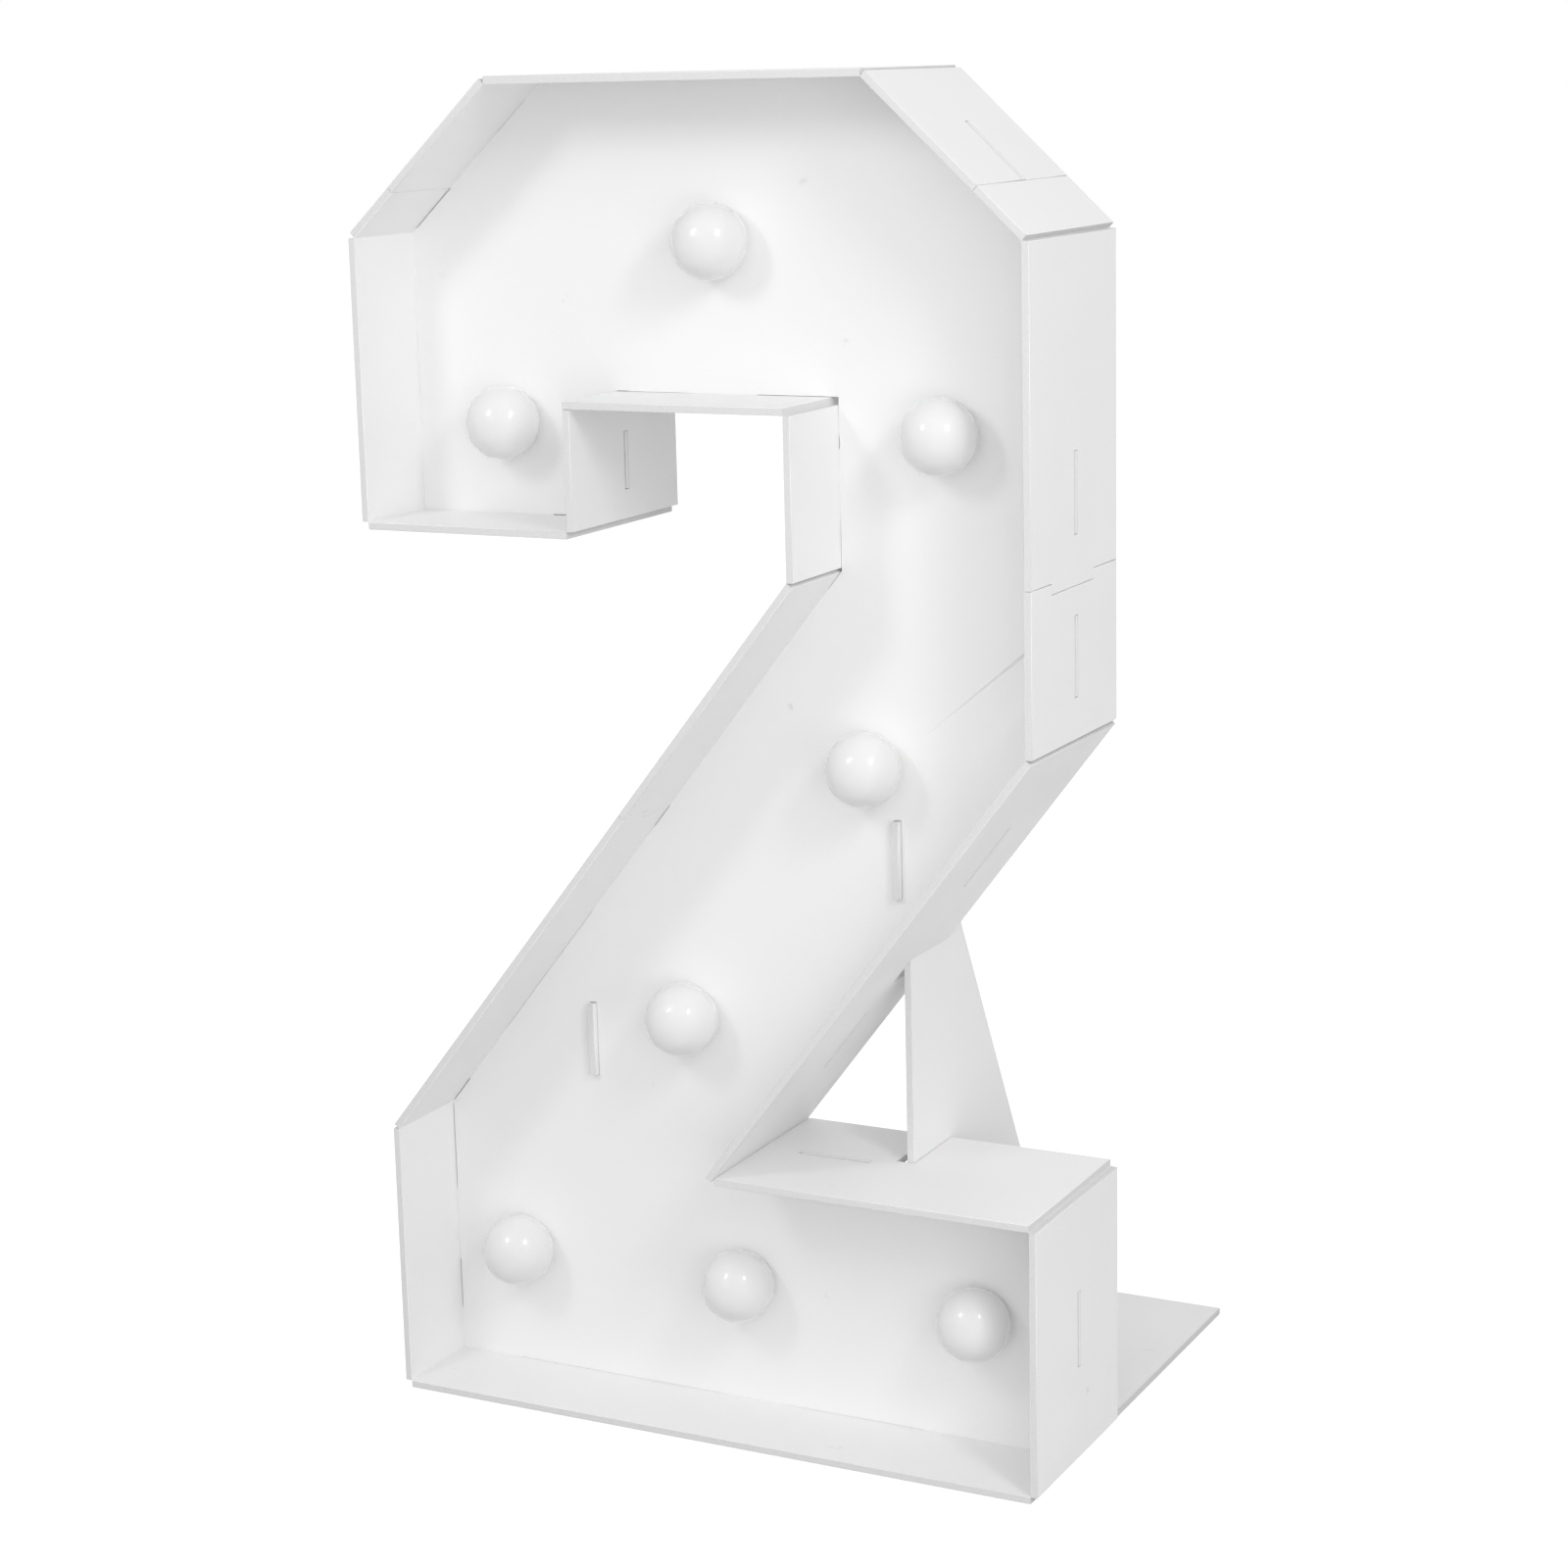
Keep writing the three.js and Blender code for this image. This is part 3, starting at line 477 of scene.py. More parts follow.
def piece(name, mesh, body, slot, *nodes):
    """An object at the origin that rides on a body and stands for its CAD nodes."""
    made = bpy.data.objects.new(name, mesh)
    mesh.name = name
    show(made)
    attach(made, body)
    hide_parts(*nodes)
    return made


def body_of(node):
    bodies = frame["record"]["behaviour"]["bodies"]
    return next(body for body, members in bodies.items() if node in members)


def merged_form(node, is_first=lambda face: True):
    """A CAD node as a form to work on: its triangles merged, its flat faces whole, and then cut into
    plain convex ones. Faces that is_first picks take the first material, the others the second."""
    mesh = frame["nodes"][node].data.copy()
    if "custom_normal" in mesh.attributes:
        mesh.attributes.remove(mesh.attributes["custom_normal"])
    form = bmesh.new()
    form.from_mesh(mesh)
    bpy.data.meshes.remove(mesh)
    bmesh.ops.remove_doubles(form, verts=form.verts, dist=weld)
    bmesh.ops.dissolve_limit(form, angle_limit=flat_turn, verts=form.verts, edges=form.edges)
    for face in form.faces:
        face.smooth = False
        face.material_index = 0 if is_first(face) else 1
    bmesh.ops.connect_verts_concave(form, faces=form.faces)
    return form


def ease(form, edges, width):
    """Rolls sharp edges over by a width. The rolled faces are smooth and take the first material."""
    done = bmesh.ops.bevel(form, geom=edges, offset=width, offset_type="OFFSET", segments=rim_steps,
                           profile=0.5, affect="EDGES", clamp_overlap=False)
    for face in done["faces"]:
        face.smooth = True
        face.material_index = 0


def outward_edges(form, longer_than):
    return [edge for edge in form.edges if len(edge.link_faces) == 2
            and edge.calc_length() > longer_than and edge.calc_face_angle_signed(0) > edge_turn]


def mesh_of(form, name, *materials):
    mesh = bpy.data.meshes.new(name)
    form.to_mesh(mesh)
    form.free()
    for material in materials:
        mesh.materials.append(material)
    return mesh


def plain_copy(node, width, longer_than, *materials):
    """A CAD node with its sharp edges eased."""
    form = merged_form(node)
    ease(form, outward_edges(form, longer_than), width)
    return mesh_of(form, node, *materials)


# Boards

def across(face):
    """How far a face reaches square to the wall's depth, along its own plane."""
    along = Vector((face.normal.z, 0, -face.normal.x))
    reach = [vertex.co.dot(along) for vertex in face.verts]
    return max(reach) - min(reach)


def strip_is_skin(face):
    return abs(face.normal.y) < squareness and across(face) > skin_share * board_thickness


def fin_is_skin(face):
    return abs(face.normal.x) > squareness


def in_slot(edge):
    """Slots and tabs lie in the depth of the panel, and are cut sharp."""
    middle = (edge.verts[0].co + edge.verts[1].co) / 2
    depth = middle.y - panel_front
    return -mm < depth < board_thickness + mm and edge.calc_length() < longest_slot


def board(node, is_skin):
    """A board with its skin on its faces, the darker cut-foam colour on its cut edges, partly painted
    shade, and the skin rolled over the rims.
    """
    form = merged_form(node, is_skin)
    sharp = [edge for edge in outward_edges(form, 2 * board_thickness) if not in_slot(edge)]
    ease(form, sharp, board_rim)
    mesh = mesh_of(form, node, skin, cut_foam_and_painted_shade)
    return piece(node.replace("strip", "wall") + "_board", mesh, body_of(node), "board", node)


def slit_ends():
    """Each slit as its two ends and how open it stands."""
    for x, z, far_x, far_z, share in slits:
        yield Vector((x * mm, 0, z * mm)), Vector((far_x * mm, 0, far_z * mm)), share


def openness(point):
    """How open the gap round the panel stands at a point, from nought to one."""
    widest = 0.0
    for start, end, share in slit_ends():
        way = (end - start).normalized()
        off = point - start
        off.y = 0
        reach = off.dot(way)
        aside = (off - way * reach).length
        past = max(-reach, reach - (end - start).length)
        if aside < slit_reach and past < slit_taper / 2:
            widest = max(widest, share)
    return widest


def near_wall(face, walls):
    """Whether the panel's edge faces a wall across the gap, and isn't a side or an end of a tab."""
    if abs(face.normal.y) > squareness:
        return False
    hit = walls.ray_cast(face.calc_center_median(), face.normal, panel_gap[1])
    return hit[3] is not None and hit[3] > panel_gap[0]


def tip_corners(face):
    """The two corners of a tab's tip, or nothing for a face that isn't one."""
    if abs(face.normal.y) > squareness:
        return None
    corners = [edge for edge in face.edges if abs(edge.verts[0].co.y - edge.verts[1].co.y) > mm]
    if len(corners) != 2 or min(edge.calc_face_angle_signed(0) for edge in corners) < tip_turn:
        return None
    return corners


def pare_tips(form):
    """Pares the tips of the panel's tabs, and gives the faces round each tip, but for its back face, the
    darker cut-foam colour: the cut foam's own on the tab's sides, painted shade on its pared front, so
    that their slots show as a dark line on the outside.
    """
    tips = [face for face in form.faces if tip_corners(face)]
    for tip in tips:
        around = {face for edge in tip.edges for face in edge.link_faces if face != tip}
        pieces = {item for face in around for item in (face, *face.edges, *face.verts)}
        bmesh.ops.bisect_plane(form, geom=list(pieces), dist=weld, plane_no=tip.normal,
                               plane_co=tip.calc_center_median() - tip.normal * tip_length)
    moves = []
    for tip in tips:
        corners = tip_corners(tip)
        along = corners[1].verts[0].co - corners[0].verts[0].co
        along.y = 0
        along.normalize()
        front = min(vertex.co.y for vertex in tip.verts)
        for edge, inward in zip(corners, (1, -1)):
            for vertex in edge.verts:
                back = tip_give if vertex.co.y < front + mm else 0
                moves.append((vertex, along * (inward * tip_narrowing) + Vector((0, back, 0))))
        # painted shade: the faces round each tip, its pared front included, take the darker cut-foam
        # material so the slot reads as a dark line; only the back keeps the skin
        for face in {face for edge in tip.edges for face in edge.link_faces if face != tip}:
            face.material_index = 0 if face.normal.y > squareness else 1
    for vertex, move in moves:
        vertex.co += move


def cut_at_slits(form):
    """Gives the panel's edge a corner where each slit begins and ends."""
    for start, end, _ in slit_ends():
        way = (end - start).normalized()
        axis = Vector((1, 0, 0)) if abs(way.x) > abs(way.z) else Vector((0, 0, 1))
        for place in (start - way * slit_taper, start, end, end + way * slit_taper):
            everything = [*form.verts, *form.edges, *form.faces]
            bmesh.ops.bisect_plane(form, geom=everything, dist=weld, plane_co=place, plane_no=axis)


def close_up(form, facing):
    """Moves the panel's edge towards its walls, but for the slits that the photograph shows."""
    moves = []
    for vertex in form.verts:
        sides = [face for face in vertex.link_faces if abs(face.normal.y) < squareness]
        first = next((face for face in sides if face[facing]), None)
        if first is None:
            continue
        other = next((face for face in sides
                      if abs(face.normal.dot(first.normal)) < straight_on), None)
        push = panel_close * (1 - openness(vertex.co))
        move = first.normal * push
        if other is not None:
            wanted = push if other[facing] else 0
            lean = other.normal - first.normal * other.normal.dot(first.normal)
            move += lean * ((wanted - move.dot(other.normal)) / lean.length_squared)
        moves.append((vertex, move))
    for vertex, move in moves:
        vertex.co += move


def panel(walls):
    form = merged_form("face_panel")
    facing = form.faces.layers.int.new("facing a wall")
    for face in form.faces:
        face[facing] = 1 if near_wall(face, walls) else 0
    pare_tips(form)
    cut_at_slits(form)
    close_up(form, facing)
    bmesh.ops.translate(form, verts=form.verts, vec=(0, panel_play, 0))
    mesh = mesh_of(form, "face_panel", skin, cut_foam_and_painted_shade)
    piece("face_panel_board", mesh, body_of("face_panel"), "board", "face_panel")


strips = ("top_strip", "right_upper_strip", "right_lower_strip", "base_strip", "notch_strip",
          "left_strip")


def boards():
    joined_walls = bmesh.new()
    for node in strips:
        joined_walls.from_mesh(frame["nodes"][node].data)
    panel(BVHTree.FromBMesh(joined_walls))
    joined_walls.free()
    for node in strips:
        board(node, strip_is_skin)
    for node in ("fin_left", "fin_right"):
        board(node, fin_is_skin)


# Trees of Geometry Nodes

class Tree:
    """A Geometry Nodes tree being wired, with named inputs for its sizes."""

    def __init__(self, name):
        self.group = bpy.data.node_groups.new(name, "GeometryNodeTree")
        self.group.interface.new_socket("Geometry", in_out="OUTPUT", socket_type="NodeSocketGeometry")
        self.group.interface.new_socket("Geometry", in_out="INPUT", socket_type="NodeSocketGeometry")
        self.inputs = {}
        self.start = self.end = None

    def size(self, name, kind="NodeSocketFloat"):
        socket = self.group.interface.new_socket(name, in_out="INPUT", socket_type=kind)
        self.inputs[name] = socket.identifier

    def begin(self):
        self.size("Material", "NodeSocketMaterial")
        self.start = self.group.nodes.new("NodeGroupInput")
        self.end = self.group.nodes.new("NodeGroupOutput")

    def given(self, name):
        return self.start.outputs[name]

    def add(self, kind, feeds=(), **settings):
        """Adds a node, sets it, and feeds its inputs: pairs of a socket's name or number and a value."""
        node = self.group.nodes.new(kind)
        for key, value in settings.items():
            setattr(node, key, value)
        for name, value in feeds:
            socket = node.inputs[name]
            if isinstance(value, bpy.types.NodeSocket):
                self.group.links.new(value, socket)
            else:
                socket.default_value = value
        return node

    def math(self, operation, *values):
        return self.add("ShaderNodeMath", list(enumerate(values)), operation=operation).outputs[0]

    def parted(self, vector):
        return self.add("ShaderNodeSeparateXYZ", [("Vector", vector)])

    def finish(self, geometry):
        """Every tree ends in Realize Instances and Set Material."""
        real = self.add("GeometryNodeRealizeInstances", [("Geometry", geometry)])
        painted = self.add("GeometryNodeSetMaterial", [
            ("Geometry", real.outputs["Geometry"]), ("Material", self.given("Material"))])
        self.group.links.new(painted.outputs["Geometry"], self.end.inputs["Geometry"])

    def make(self, source, **values):
        """Runs the tree on a source mesh and returns the result as a plain mesh."""
        carrier = bpy.data.objects.new("carrier", source)
        show(carrier)
        modifier = carrier.modifiers.new("tree", "NODES")
        modifier.node_group = self.group
        for name, value in values.items():
            modifier[self.inputs[name.replace("_", " ")]] = value
        evaluated = carrier.evaluated_get(bpy.context.evaluated_depsgraph_get())
        made = bpy.data.meshes.new_from_object(evaluated)
        bpy.data.objects.remove(carrier)
        bpy.data.meshes.remove(source)
        worn = made.materials[made.polygons[0].material_index]
        made.materials.clear()
        made.materials.append(worn)
        made.polygons.foreach_set("material_index", [0] * len(made.polygons))
        return made


def line_mesh(points):
    """Points joined in a row, as the source of a tree."""
    mesh = bpy.data.meshes.new("line")
    mesh.from_pydata(points, [(i, i + 1) for i in range(len(points) - 1)], [])
    return mesh


def turning_tree():
    """Turns a profile of radius and depth round the depth axis: a grid, one row for each point."""
    tree = Tree("turned form")
    tree.size("Sides", "NodeSocketInt")
    tree.begin()
    count = tree.add("GeometryNodeAttributeDomainSize", [("Geometry", tree.given("Geometry"))])
    rows = count.outputs["Point Count"]
    grid = tree.add("GeometryNodeMeshGrid", [
        ("Size X", 1.0), ("Size Y", 1.0), ("Vertices X", rows),
        ("Vertices Y", tree.math("ADD", tree.given("Sides"), 1.0))])
    place = tree.parted(tree.add("GeometryNodeInputPosition").outputs[0])
    share = tree.math("ADD", place.outputs["X"], 0.5)
    row = tree.math("ROUND", tree.math("MULTIPLY", share, tree.math("SUBTRACT", rows, 1.0)))
    sample = tree.add("GeometryNodeSampleIndex", [
        ("Geometry", tree.given("Geometry")),
        ("Value", tree.add("GeometryNodeInputPosition").outputs[0]),
        ("Index", row)], data_type="FLOAT_VECTOR", domain="POINT")
    profile = tree.parted(sample.outputs["Value"])
    angle = tree.math("MULTIPLY", tree.math("ADD", place.outputs["Y"], 0.5), 2 * math.pi)
    radius = profile.outputs["X"]
    round_place = tree.add("ShaderNodeCombineXYZ", [
        ("X", tree.math("MULTIPLY", radius, tree.math("COSINE", angle))),
        ("Y", profile.outputs["Y"]),
        ("Z", tree.math("MULTIPLY", radius, tree.math("SINE", angle)))])
    turned = tree.add("GeometryNodeSetPosition", [
        ("Geometry", grid.outputs["Mesh"]), ("Position", round_place.outputs[0])])
    closed = tree.add("GeometryNodeMergeByDistance", [
        ("Geometry", turned.outputs["Geometry"]), ("Distance", weld)])
    tree.finish(closed.outputs["Geometry"])
    return tree


turning = turning_tree()
turned_crease = math.radians(32)
swept_crease = math.radians(40)


def arc(centre_depth, radius, start, stop, steps, centre_radius=0.0):
    """Points of an arc in radius and depth. Angles are from the front of the axis, in degrees."""
    points = []
    for i in range(steps + 1):
        angle = math.radians(start + (stop - start) * i / steps)
        points.append((centre_radius + radius * math.sin(angle),
                       centre_depth - radius * math.cos(angle)))
    return points


def crease(form, turn):
    """Keeps the edges sharp that turn further than this."""
    for edge in form.edges:
        edge.smooth = len(edge.link_faces) == 2 and edge.calc_face_angle(0) < turn


def turned(profile, sides, material):
    """A closed form turned about the y axis, its faces pointing out."""
    source = line_mesh([(radius, depth, 0) for radius, depth in profile])
    mesh = turning.make(source, Sides=sides, Material=material)
    form = bmesh.new()
    form.from_mesh(mesh)
    bmesh.ops.remove_doubles(form, verts=form.verts, dist=weld)
    flat = [face for face in form.faces if face.calc_area() < weld ** 2]
    bmesh.ops.delete(form, geom=flat, context="FACES")
    bmesh.ops.recalc_face_normals(form, faces=form.faces)
    for face in form.faces:
        face.smooth = True
    crease(form, turned_crease)
    form.to_mesh(mesh)
    form.free()
    return mesh


def joined(name, parts):
    """One mesh of several, each placed by its matrix and keeping its material."""
    form = bmesh.new()
    materials = []
    for mesh, place in parts:
        part = mesh.copy()
        part.transform(place)
        first = len(form.faces)
        material = part.materials[0]
        if material not in materials:
            materials.append(material)
        form.from_mesh(part)
        form.faces.ensure_lookup_table()
        for face in form.faces[first:]:
            face.material_index = materials.index(material)
        bpy.data.meshes.remove(part)
    return mesh_of(form, name, *materials)


# Balls, holders and LEDs

def lamp_place(number):
    """Where a ball's axis crosses the front of the panel, from the ball's own box."""
    low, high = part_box(f"globe_{number}")
    return Vector(((low.x + high.x) / 2, panel_front, (low.z + high.z) / 2))


def ball_mesh():
    """An opal ball with a flat back and a neck that screws over the holder's barrel."""
    back = -seat
    centre = -(math.sqrt(ball_radius ** 2 - ball_rim_radius ** 2) + seat)
    rim_angle = math.degrees(math.acos((centre - back) / ball_radius))
    inner = ball_radius - ball_wall
    inner_angle = math.degrees(math.acos((centre - back + ball_wall) / inner))
    outside = arc(centre, ball_radius, 0, rim_angle - ball_rim_ease, ball_arc_steps)
    last_radius = outside[-1][0]
    rim = arc(back - ball_rim_round, ball_rim_round, 100, 180, ball_rim_steps,
              last_radius - ball_rim_round)
    inside = arc(centre, inner, inner_angle, 0, ball_arc_steps // 2)
    neck = [(neck_radius, back), (neck_radius, -neck_reach), (neck_radius + neck_wall, -neck_reach),
            (neck_radius + neck_wall, back - ball_wall)]
    return turned([*outside, *rim, *neck, *inside], ball_sides, opal_white)


def rounded(profile, radius, steps=3):
    """A profile with each of its inner corners rounded off, where the sides leave room."""
    points = [Vector(point) for point in profile]
    made = [points[0]]
    for before, at, after in zip(points, points[1:], points[2:]):
        reach = min(radius, (before - at).length * 0.45, (after - at).length * 0.45)
        start = at + (before - at).normalized() * reach
        end = at + (after - at).normalized() * reach
        for i in range(steps + 1):
            t = i / steps
            made.append(start * (1 - t) ** 2 + at * (2 * t * (1 - t)) + end * t ** 2)
    made.append(points[-1])
    return [tuple(point) for point in made]


def holder_mesh():
    """A flanged cup behind the panel with a barrel through it, and a ribbed nub for each lead."""
    flange_front = board_thickness + seat
    flange_back = flange_front + flange_thickness
    seat_step = board_thickness + led_seat_depth
    cup_back = board_thickness + cup_depth
    profile = [
        (0, cup_back - cup_floor), (led_seat_radius, cup_back - cup_floor), (led_seat_radius, seat_step),
        (bore_radius, seat_step), (bore_radius, -neck_reach), (barrel_radius, -neck_reach),
        (barrel_radius, flange_front), (flange_radius, flange_front), (flange_radius, flange_back),
        (cup_radius, flange_back), (cup_radius, cup_back), (0, cup_back)]
    cup = turned(rounded(profile, edge_round), holder_sides, moulded_white)
    nub = turned(rounded(nub_profile(), nub_round, 2), nub_sides, moulded_white)
    wall_middle = (cup_radius + led_seat_radius) / 2
    out = Matrix.Translation((wall_middle, nub_depth, 0)) @ Matrix.Rotation(-math.pi / 2, 4, "Z")
    both = [(cup, unmoved), (nub, out), (nub, Matrix.Rotation(math.pi, 4, "Y") @ out)]
    return joined("holder", both)


def nub_profile():
    """The lead's soft nub, along its own axis, with grip rings round it."""
    length = nub_reach - (cup_radius + led_seat_radius) / 2
    groove = nub_radius - nub_groove_depth
    points = [(0, 0), (nub_radius, 0), (nub_radius, length - nub_rib_count * nub_rib_pitch)]
    for i in range(nub_rib_count):
        start = length - (nub_rib_count - i) * nub_rib_pitch
        end = start + nub_rib_pitch
        points += [(groove, start), (groove, end - nub_rib), (nub_radius, end - nub_rib),
                   (nub_radius, end)]
    return [*points, (0, length)]


def led_mesh():
    """A small round board in the holder's bore, a stem and a domed lens."""
    board_back = board_thickness + led_seat_depth - seat
    board_front = board_back - led_board_thickness
    edge = bore_radius - seat
    plate_profile = [(0, board_front), (edge, board_front), (edge, board_back), (0, board_back)]
    plate = turned(rounded(plate_profile, led_board_round), led_sides, lacquer)
    stem_profile = [(0, -led_stem_reach), (led_stem_radius, -led_stem_reach),
                    (led_stem_radius, board_front), (0, board_front)]
    stem = turned(rounded(stem_profile, led_stem_round), led_sides, moulded_white)
    dome = arc(-led_lens_reach, led_lens_radius, 0, 90, led_dome_steps)
    lens = turned([*dome, (led_lens_radius, -led_stem_reach), (0, -led_stem_reach)], led_sides, amber)
    return joined("led", [(plate, unmoved), (stem, unmoved), (lens, unmoved)])


def lamps():
    ball, holder, led = ball_mesh(), holder_mesh(), led_mesh()
    for number in range(1, ball_count + 1):
        place = Matrix.Translation(lamp_place(number))
        turn = Matrix.Rotation(-math.radians(lead_headings[number - 1]), 4, "Y")
        for form, at, name, slot, node in (
                (ball, place, "opal_ball", "opal_ball", f"globe_{number}"),
                (holder, place @ turn, "lamp_holder", "holder_plastic", f"holder_{number}"),
                (led, place, "led_lamp", "led_resin", f"led_{number}")):
            mesh = form.copy()
            mesh.transform(at)
            piece(f"{name}_{number}", mesh, body_of(node), slot, node)


# Leads

def cord_tree():
    """A flat twin cord along a line: a circle pressed to a waist, swept along it."""
    tree = Tree("twin cord")
    for name in ("Half width", "Half height", "Waist share", "Lobe share"):
        tree.size(name)
    tree.size("Sides", "NodeSocketInt")
    tree.begin()
    path = tree.add("GeometryNodeMeshToCurve", [("Mesh", tree.given("Geometry"))])
    circle = tree.add("GeometryNodeCurvePrimitiveCircle", [
        ("Radius", 1.0), ("Resolution", tree.given("Sides"))], mode="RADIUS")
    place = tree.parted(tree.add("GeometryNodeInputPosition").outputs[0])
    across_share, up_share = place.outputs["X"], place.outputs["Y"]
    across_squared = tree.math("MULTIPLY", across_share, across_share)
    lobe = tree.math("MULTIPLY", tree.given("Lobe share"), across_squared)
    swell = tree.math("ADD", tree.given("Waist share"), lobe)
    height = tree.math("MULTIPLY", tree.given("Half height"), swell)
    outline = tree.add("ShaderNodeCombineXYZ", [
        ("X", tree.math("MULTIPLY", up_share, height)),
        ("Y", tree.math("MULTIPLY", across_share, tree.given("Half width")))])
    section = tree.add("GeometryNodeSetPosition", [
        ("Geometry", circle.outputs["Curve"]), ("Position", outline.outputs[0])])
    swept = tree.add("GeometryNodeCurveToMesh", [
        ("Curve", path.outputs["Curve"]), ("Profile Curve", section.outputs["Geometry"]),
        ("Fill Caps", True)])
    tree.finish(swept.outputs["Mesh"])
    return tree


def nub_end(number, side):
    """The tip of a holder's nub, and the way it points."""
    angle = math.radians(lead_headings[number - 1])
    way = Vector((math.cos(angle), 0, math.sin(angle))) * side
    return lamp_place(number) + way * (nub_reach + seat), way


def lead_path(start, leaving, end, arriving):
    """Leaves each nub straight, and dips towards the panel on its way."""
    pull = (end - start).length * lead_pull_share
    first, second = start + leaving * pull, end + arriving * pull
    points = []
    for i in range(lead_steps + 1):
        t = i / lead_steps
        point = (start * (1 - t) ** 3 + first * (3 * t * (1 - t) ** 2)
                 + second * (3 * t ** 2 * (1 - t)) + end * t ** 3)
        point.y = panel_front + nub_depth - lead_dip * math.sin(math.pi * t) ** 2
        points.append(point)
    return points


def smooth_all(mesh):
    """Shades a mesh smooth, but for its sharp edges."""
    form = bmesh.new()
    form.from_mesh(mesh)
    bmesh.ops.recalc_face_normals(form, faces=form.faces)
    for face in form.faces:
        face.smooth = True
    crease(form, swept_crease)
    form.to_mesh(mesh)
    form.free()
    return mesh


def leads():
    cord = cord_tree()
    case_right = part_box("battery_case")[1].x
    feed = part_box(f"lead_{ball_count}")
    for number in range(1, ball_count + 1):
        start, leaving = nub_end(number, 1)
        if number < ball_count:
            end, arriving = nub_end(number + 1, -1)
        else:
            end, arriving = start, leaving
            start = Vector((case_right + seat, 0, feed[0].z + solid_lead_radius))
            leaving = Vector((1, 0, 0))
        mesh = cord.make(line_mesh(lead_path(start, leaving, end, arriving)),
                         Half_width=lead_half_width, Half_height=lead_half_height, Sides=lead_sides,
                         Waist_share=lead_waist_share, Lobe_share=lead_lobe_share, Material=sheath_white)
        piece(f"twin_lead_{number}", smooth_all(mesh), "surround", "lead_sheath", f"lead_{number}")


# Battery case and what is in it

def battery_box():
    """The case on its tape, its cover with an arrow on it, and the switch."""
    plastic, tape = (moulded_white, "holder_plastic"), (tape_white, "foam_tape")
    for name, node, width, longer_than, (material, slot) in (
            ("battery_box", "battery_case", case_round, eased_length, plastic),
            ("tape_pad", "battery_pad", pad_round, eased_length, tape),
            ("battery_lid", "battery_cover", cover_round, eased_length, plastic),
            ("switch_housing", "switch_body", switch_round, eased_length, plastic),
            ("switch_knob", "switch_slider", switch_round, knob_eased_length, plastic)):
        mesh = plain_copy(node, width, longer_than, material)
        if node == "battery_cover":
            mesh = joined("lid", [(mesh, unmoved), (arrow_mesh(), unmoved)])
        piece(name, mesh, body_of(node), slot, node)


def arrow_mesh():
    """A raised arrow on the cover that shows which way it slides off."""
    low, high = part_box("battery_cover")
    middle = (low + high) / 2
    tip = Vector((middle.x - arrow_length / 2, high.y - cover_grip_height - seat, middle.z))
    form = bmesh.new()
    outline = [tip, tip + Vector((arrow_length, 0, -arrow_width / 2)),
               tip + Vector((arrow_length, 0, arrow_width / 2))]
    face = form.faces.new([form.verts.new(point) for point in outline])
    raised = bmesh.ops.extrude_face_region(form, geom=[face])
    moved = [item for item in raised["geom"] if isinstance(item, bmesh.types.BMVert)]
    bmesh.ops.translate(form, verts=moved, vec=(0, seat + arrow_height, 0))
    bmesh.ops.recalc_face_normals(form, faces=form.faces)
    ease(form, [edge for edge in form.edges if edge.calc_length() > mm], fine_round)
    return mesh_of(form, "arrow", moulded_white)


def cells():
    """Each cell: a steel can in a green jacket that turns over its ends, with a nub."""
    for number in range(1, cell_count + 1):
        low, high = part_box(f"cell_{number}")
        length = high.x - low.x - cell_nub_length
        lip, inside = cell_radius - cell_crimp, cell_radius - jacket_wall
        sleeve = [(lip, 0), (cell_radius, 0), (cell_radius, length), (lip, length),
                  (lip, length - jacket_wall), (inside, length - jacket_wall), (inside, jacket_wall),
                  (lip, jacket_wall), (lip, 0)]
        side, top = cell_radius - can_step, length - can_inset
        can = [(0, can_inset), (side, can_inset), (side, top), (cell_nub_radius, top),
               (cell_nub_radius, length + cell_nub_length), (0, length + cell_nub_length)]
        parts = [(turned(rounded(sleeve, jacket_round), cell_sides, jacket_green), unmoved),
                 (turned(rounded(can, can_round), cell_sides, can_steel), unmoved)]
        mesh = joined("cell", parts)
        lay = Matrix.Rotation(-math.pi / 2, 4, "Z")
        middle = (low + high) / 2
        nub_right = number % 2 == 1
        start = Matrix.Translation((low.x if nub_right else high.x, middle.y, middle.z))
        flip = unmoved if nub_right else Matrix.Rotation(math.pi, 4, "Z")
        mesh.transform(start @ flip @ lay)
        piece(f"aa_cell_{number}", mesh, "surround", "cell_jacket", f"cell_{number}")


def spring_tree():
    """A cone of spring wire: a spiral swept by a small circle."""
    tree = Tree("cone spring")
    for name in ("Turns", "Base radius", "Tip radius", "Height", "Wire radius"):
        tree.size(name)
    for name in ("Steps", "Sides"):
        tree.size(name, "NodeSocketInt")
    tree.begin()
    spiral = tree.add("GeometryNodeCurveSpiral", [
        ("Resolution", tree.given("Steps")), ("Rotations", tree.given("Turns")),
        ("Start Radius", tree.given("Base radius")), ("End Radius", tree.given("Tip radius")),
        ("Height", tree.given("Height"))])
    circle = tree.add("GeometryNodeCurvePrimitiveCircle", [
        ("Radius", tree.given("Wire radius")), ("Resolution", tree.given("Sides"))], mode="RADIUS")
    swept = tree.add("GeometryNodeCurveToMesh", [
        ("Curve", spiral.outputs["Curve"]), ("Profile Curve", circle.outputs["Curve"]),
        ("Fill Caps", True)])
    tree.finish(swept.outputs["Mesh"])
    return tree


def slab_mesh(low, high, width, material):
    """A block between two corners, its edges eased."""
    form = bmesh.new()
    bmesh.ops.create_cube(form, size=1)
    middle = (low + high) / 2
    bmesh.ops.scale(form, verts=form.verts, vec=high - low)
    bmesh.ops.translate(form, verts=form.verts, vec=middle)
    ease(form, list(form.edges), width)
    return mesh_of(form, "slab", material)


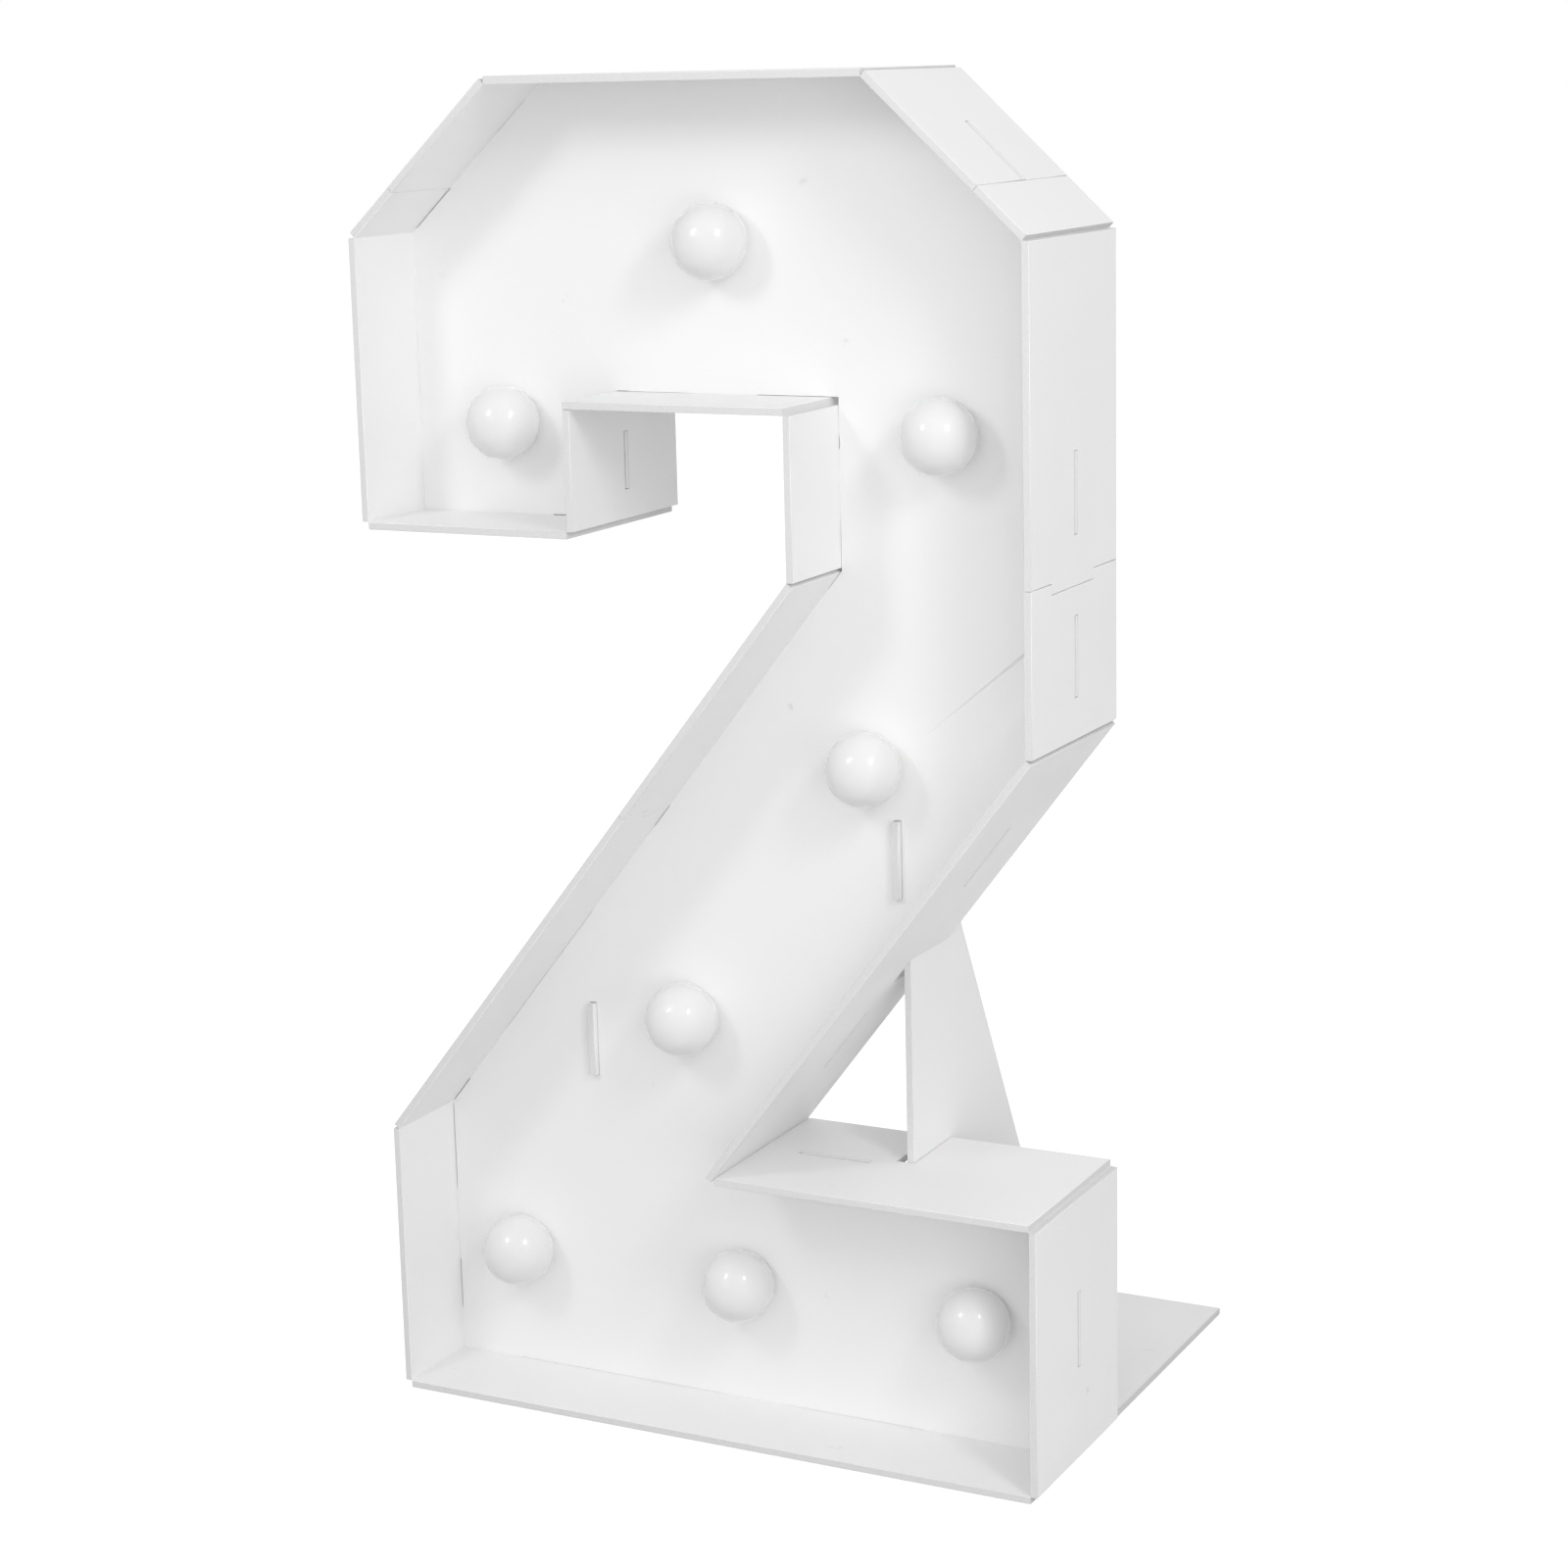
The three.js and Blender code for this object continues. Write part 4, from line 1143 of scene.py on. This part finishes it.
def contacts():
    """Nickel plates at the ends of the cells: a cone spring at each flat end, a button at each nub."""
    spring = spring_tree()
    nub_cells_right = {1, 3}
    served = {"contact_link_left": (False, (1, 2)), "contact_end_left": (False, (3,)),
              "contact_end_right": (True, (1,)), "contact_link_right": (True, (2, 3))}
    for node, (at_right, cells_here) in served.items():
        low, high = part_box(node)
        wall = high.x if at_right else low.x
        inward = -1 if at_right else 1
        inner = wall + inward * contact_thickness
        plate_low = Vector((min(wall, inner), low.y, low.z))
        plate_high = Vector((max(wall, inner), high.y, high.z))
        parts = [(slab_mesh(plate_low, plate_high, fine_round, nickel), unmoved)]
        for number in cells_here:
            cell_low, cell_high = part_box(f"cell_{number}")
            axis = (cell_low + cell_high) / 2
            point = Matrix.Rotation(inward * math.pi / 2, 4, "Y")
            here = Matrix.Translation((inner, axis.y, axis.z)) @ point
            if (number in nub_cells_right) == at_right:
                button = rounded([(0, 0), (button_radius, 0), (button_radius / 2, -button_height),
                                  (0, -button_height)], button_round)
                stand = Matrix.Rotation(math.pi / 2, 4, "X")
                parts.append((turned(button, button_sides, nickel), here @ stand))
            else:
                gap = abs((cell_high.x if at_right else cell_low.x) - inner)
                coil = spring.make(line_mesh([(0, 0, 0), (0, 0, mm)]), Turns=spring_turns,
                                   Base_radius=spring_base, Tip_radius=spring_tip,
                                   Height=gap - spring_wire, Wire_radius=spring_wire,
                                   Steps=spring_steps_per_turn, Sides=spring_sides, Material=nickel)
                parts.append((smooth_all(coil), here))
        piece(node.replace("contact", "nickel"), joined(node, parts), "surround", "contact_metal", node)


# Studio

def seen_directly(nodes, links):
    """One for rays from the camera, from gloss and from glass, nought for the light between surfaces."""
    path = nodes.new("ShaderNodeLightPath")
    value = path.outputs["Is Camera Ray"]
    for name in ("Is Glossy Ray", "Is Transmission Ray"):
        either = nodes.new("ShaderNodeMath")
        either.operation = "MAXIMUM"
        links.new(value, either.inputs[0])
        links.new(path.outputs[name], either.inputs[1])
        value = either.outputs[0]
    return value


def floor_finish():
    """A matt white floor, seen lifted to white but for the shadow on it."""
    material = bpy.data.materials.new("studio floor")
    material.use_nodes = True
    nodes, links = material.node_tree.nodes, material.node_tree.links
    nodes.clear()
    output = nodes.new("ShaderNodeOutputMaterial")
    matt = nodes.new("ShaderNodeBsdfDiffuse")
    matt.inputs["Color"].default_value = (floor_white, floor_white, floor_white, 1)
    lift = nodes.new("ShaderNodeEmission")
    both = nodes.new("ShaderNodeAddShader")
    strength = nodes.new("ShaderNodeMath")
    strength.operation = "MULTIPLY"
    strength.inputs[1].default_value = floor_lift
    for source, target in ((seen_directly(nodes, links), strength.inputs[0]),
                           (strength.outputs[0], lift.inputs["Strength"]),
                           (matt.outputs[0], both.inputs[0]), (lift.outputs[0], both.inputs[1]),
                           (both.outputs[0], output.inputs["Surface"])):
        links.new(source, target)
    return material


def floor():
    mesh = bpy.data.meshes.new("studio_floor")
    half, depth = floor_half, cad_box[0].z - floor_drop
    corners = [(-half, -half, depth), (half, -half, depth), (half, half, depth), (-half, half, depth)]
    mesh.from_pydata(corners, [], [(0, 1, 2, 3)])
    mesh.materials.append(floor_finish())
    ground = bpy.data.objects.new("studio_floor", mesh)
    show(ground)


def surroundings(level):
    """An even world that looks full white and lights the object at its own level."""
    world = bpy.data.worlds.new("white room")
    bpy.context.scene.world = world
    world.use_nodes = True
    nodes, links = world.node_tree.nodes, world.node_tree.links
    nodes.clear()
    output = nodes.new("ShaderNodeOutputWorld")
    background = nodes.new("ShaderNodeBackground")
    background.inputs["Color"].default_value = (1, 1, 1, 1)
    span = nodes.new("ShaderNodeMapRange")
    span.inputs["To Min"].default_value = level
    span.inputs["To Max"].default_value = 1
    links.new(seen_directly(nodes, links), span.inputs["Value"])
    links.new(span.outputs["Result"], background.inputs["Strength"])
    links.new(background.outputs[0], output.inputs["Surface"])


def lamp(name, bearing, distance, height, size, watts, roll=0.0, in_gloss=True):
    """A soft box aimed at the middle of the figure. Bearings are from -Y towards +X, in degrees."""
    data = bpy.data.lights.new(name, "AREA")
    data.shape = "RECTANGLE"
    data.size, data.size_y = size
    data.energy = watts
    light = bpy.data.objects.new(name, data)
    angle = math.radians(bearing)
    place = Vector((distance * math.sin(angle), -distance * math.cos(angle), height))
    aim = Vector((0, 0, aim_height)) - place
    turn = aim.to_track_quat("-Z", "Y").to_matrix().to_4x4()
    light.matrix_world = (Matrix.Translation(place)
                          @ (turn @ Matrix.Rotation(math.radians(roll), 4, "Z")))
    light.visible_glossy = in_gloss
    show(light)


def studio():
    floor()
    surroundings(room_level)
    lamp("left soft box", bearing=-22, distance=soft_box_distance, height=soft_box_height,
         size=(0.32, 0.46), watts=left_watts)
    lamp("right soft box", bearing=54, distance=soft_box_distance, height=soft_box_height,
         size=(0.28, 0.54), watts=right_watts, roll=-25)
    lamp("front fill", bearing=27, distance=2.6, height=1.1, size=(3, 2.4), watts=front_watts,
         in_gloss=False)
    lamp("low fill", bearing=42, distance=2.4, height=0.35, size=(1.4, 1), watts=low_watts,
         in_gloss=False)
    bpy.context.scene.view_settings.view_transform = "Standard"


camera()
boards()
lamps()
leads()
battery_box()
cells()
contacts()
studio()
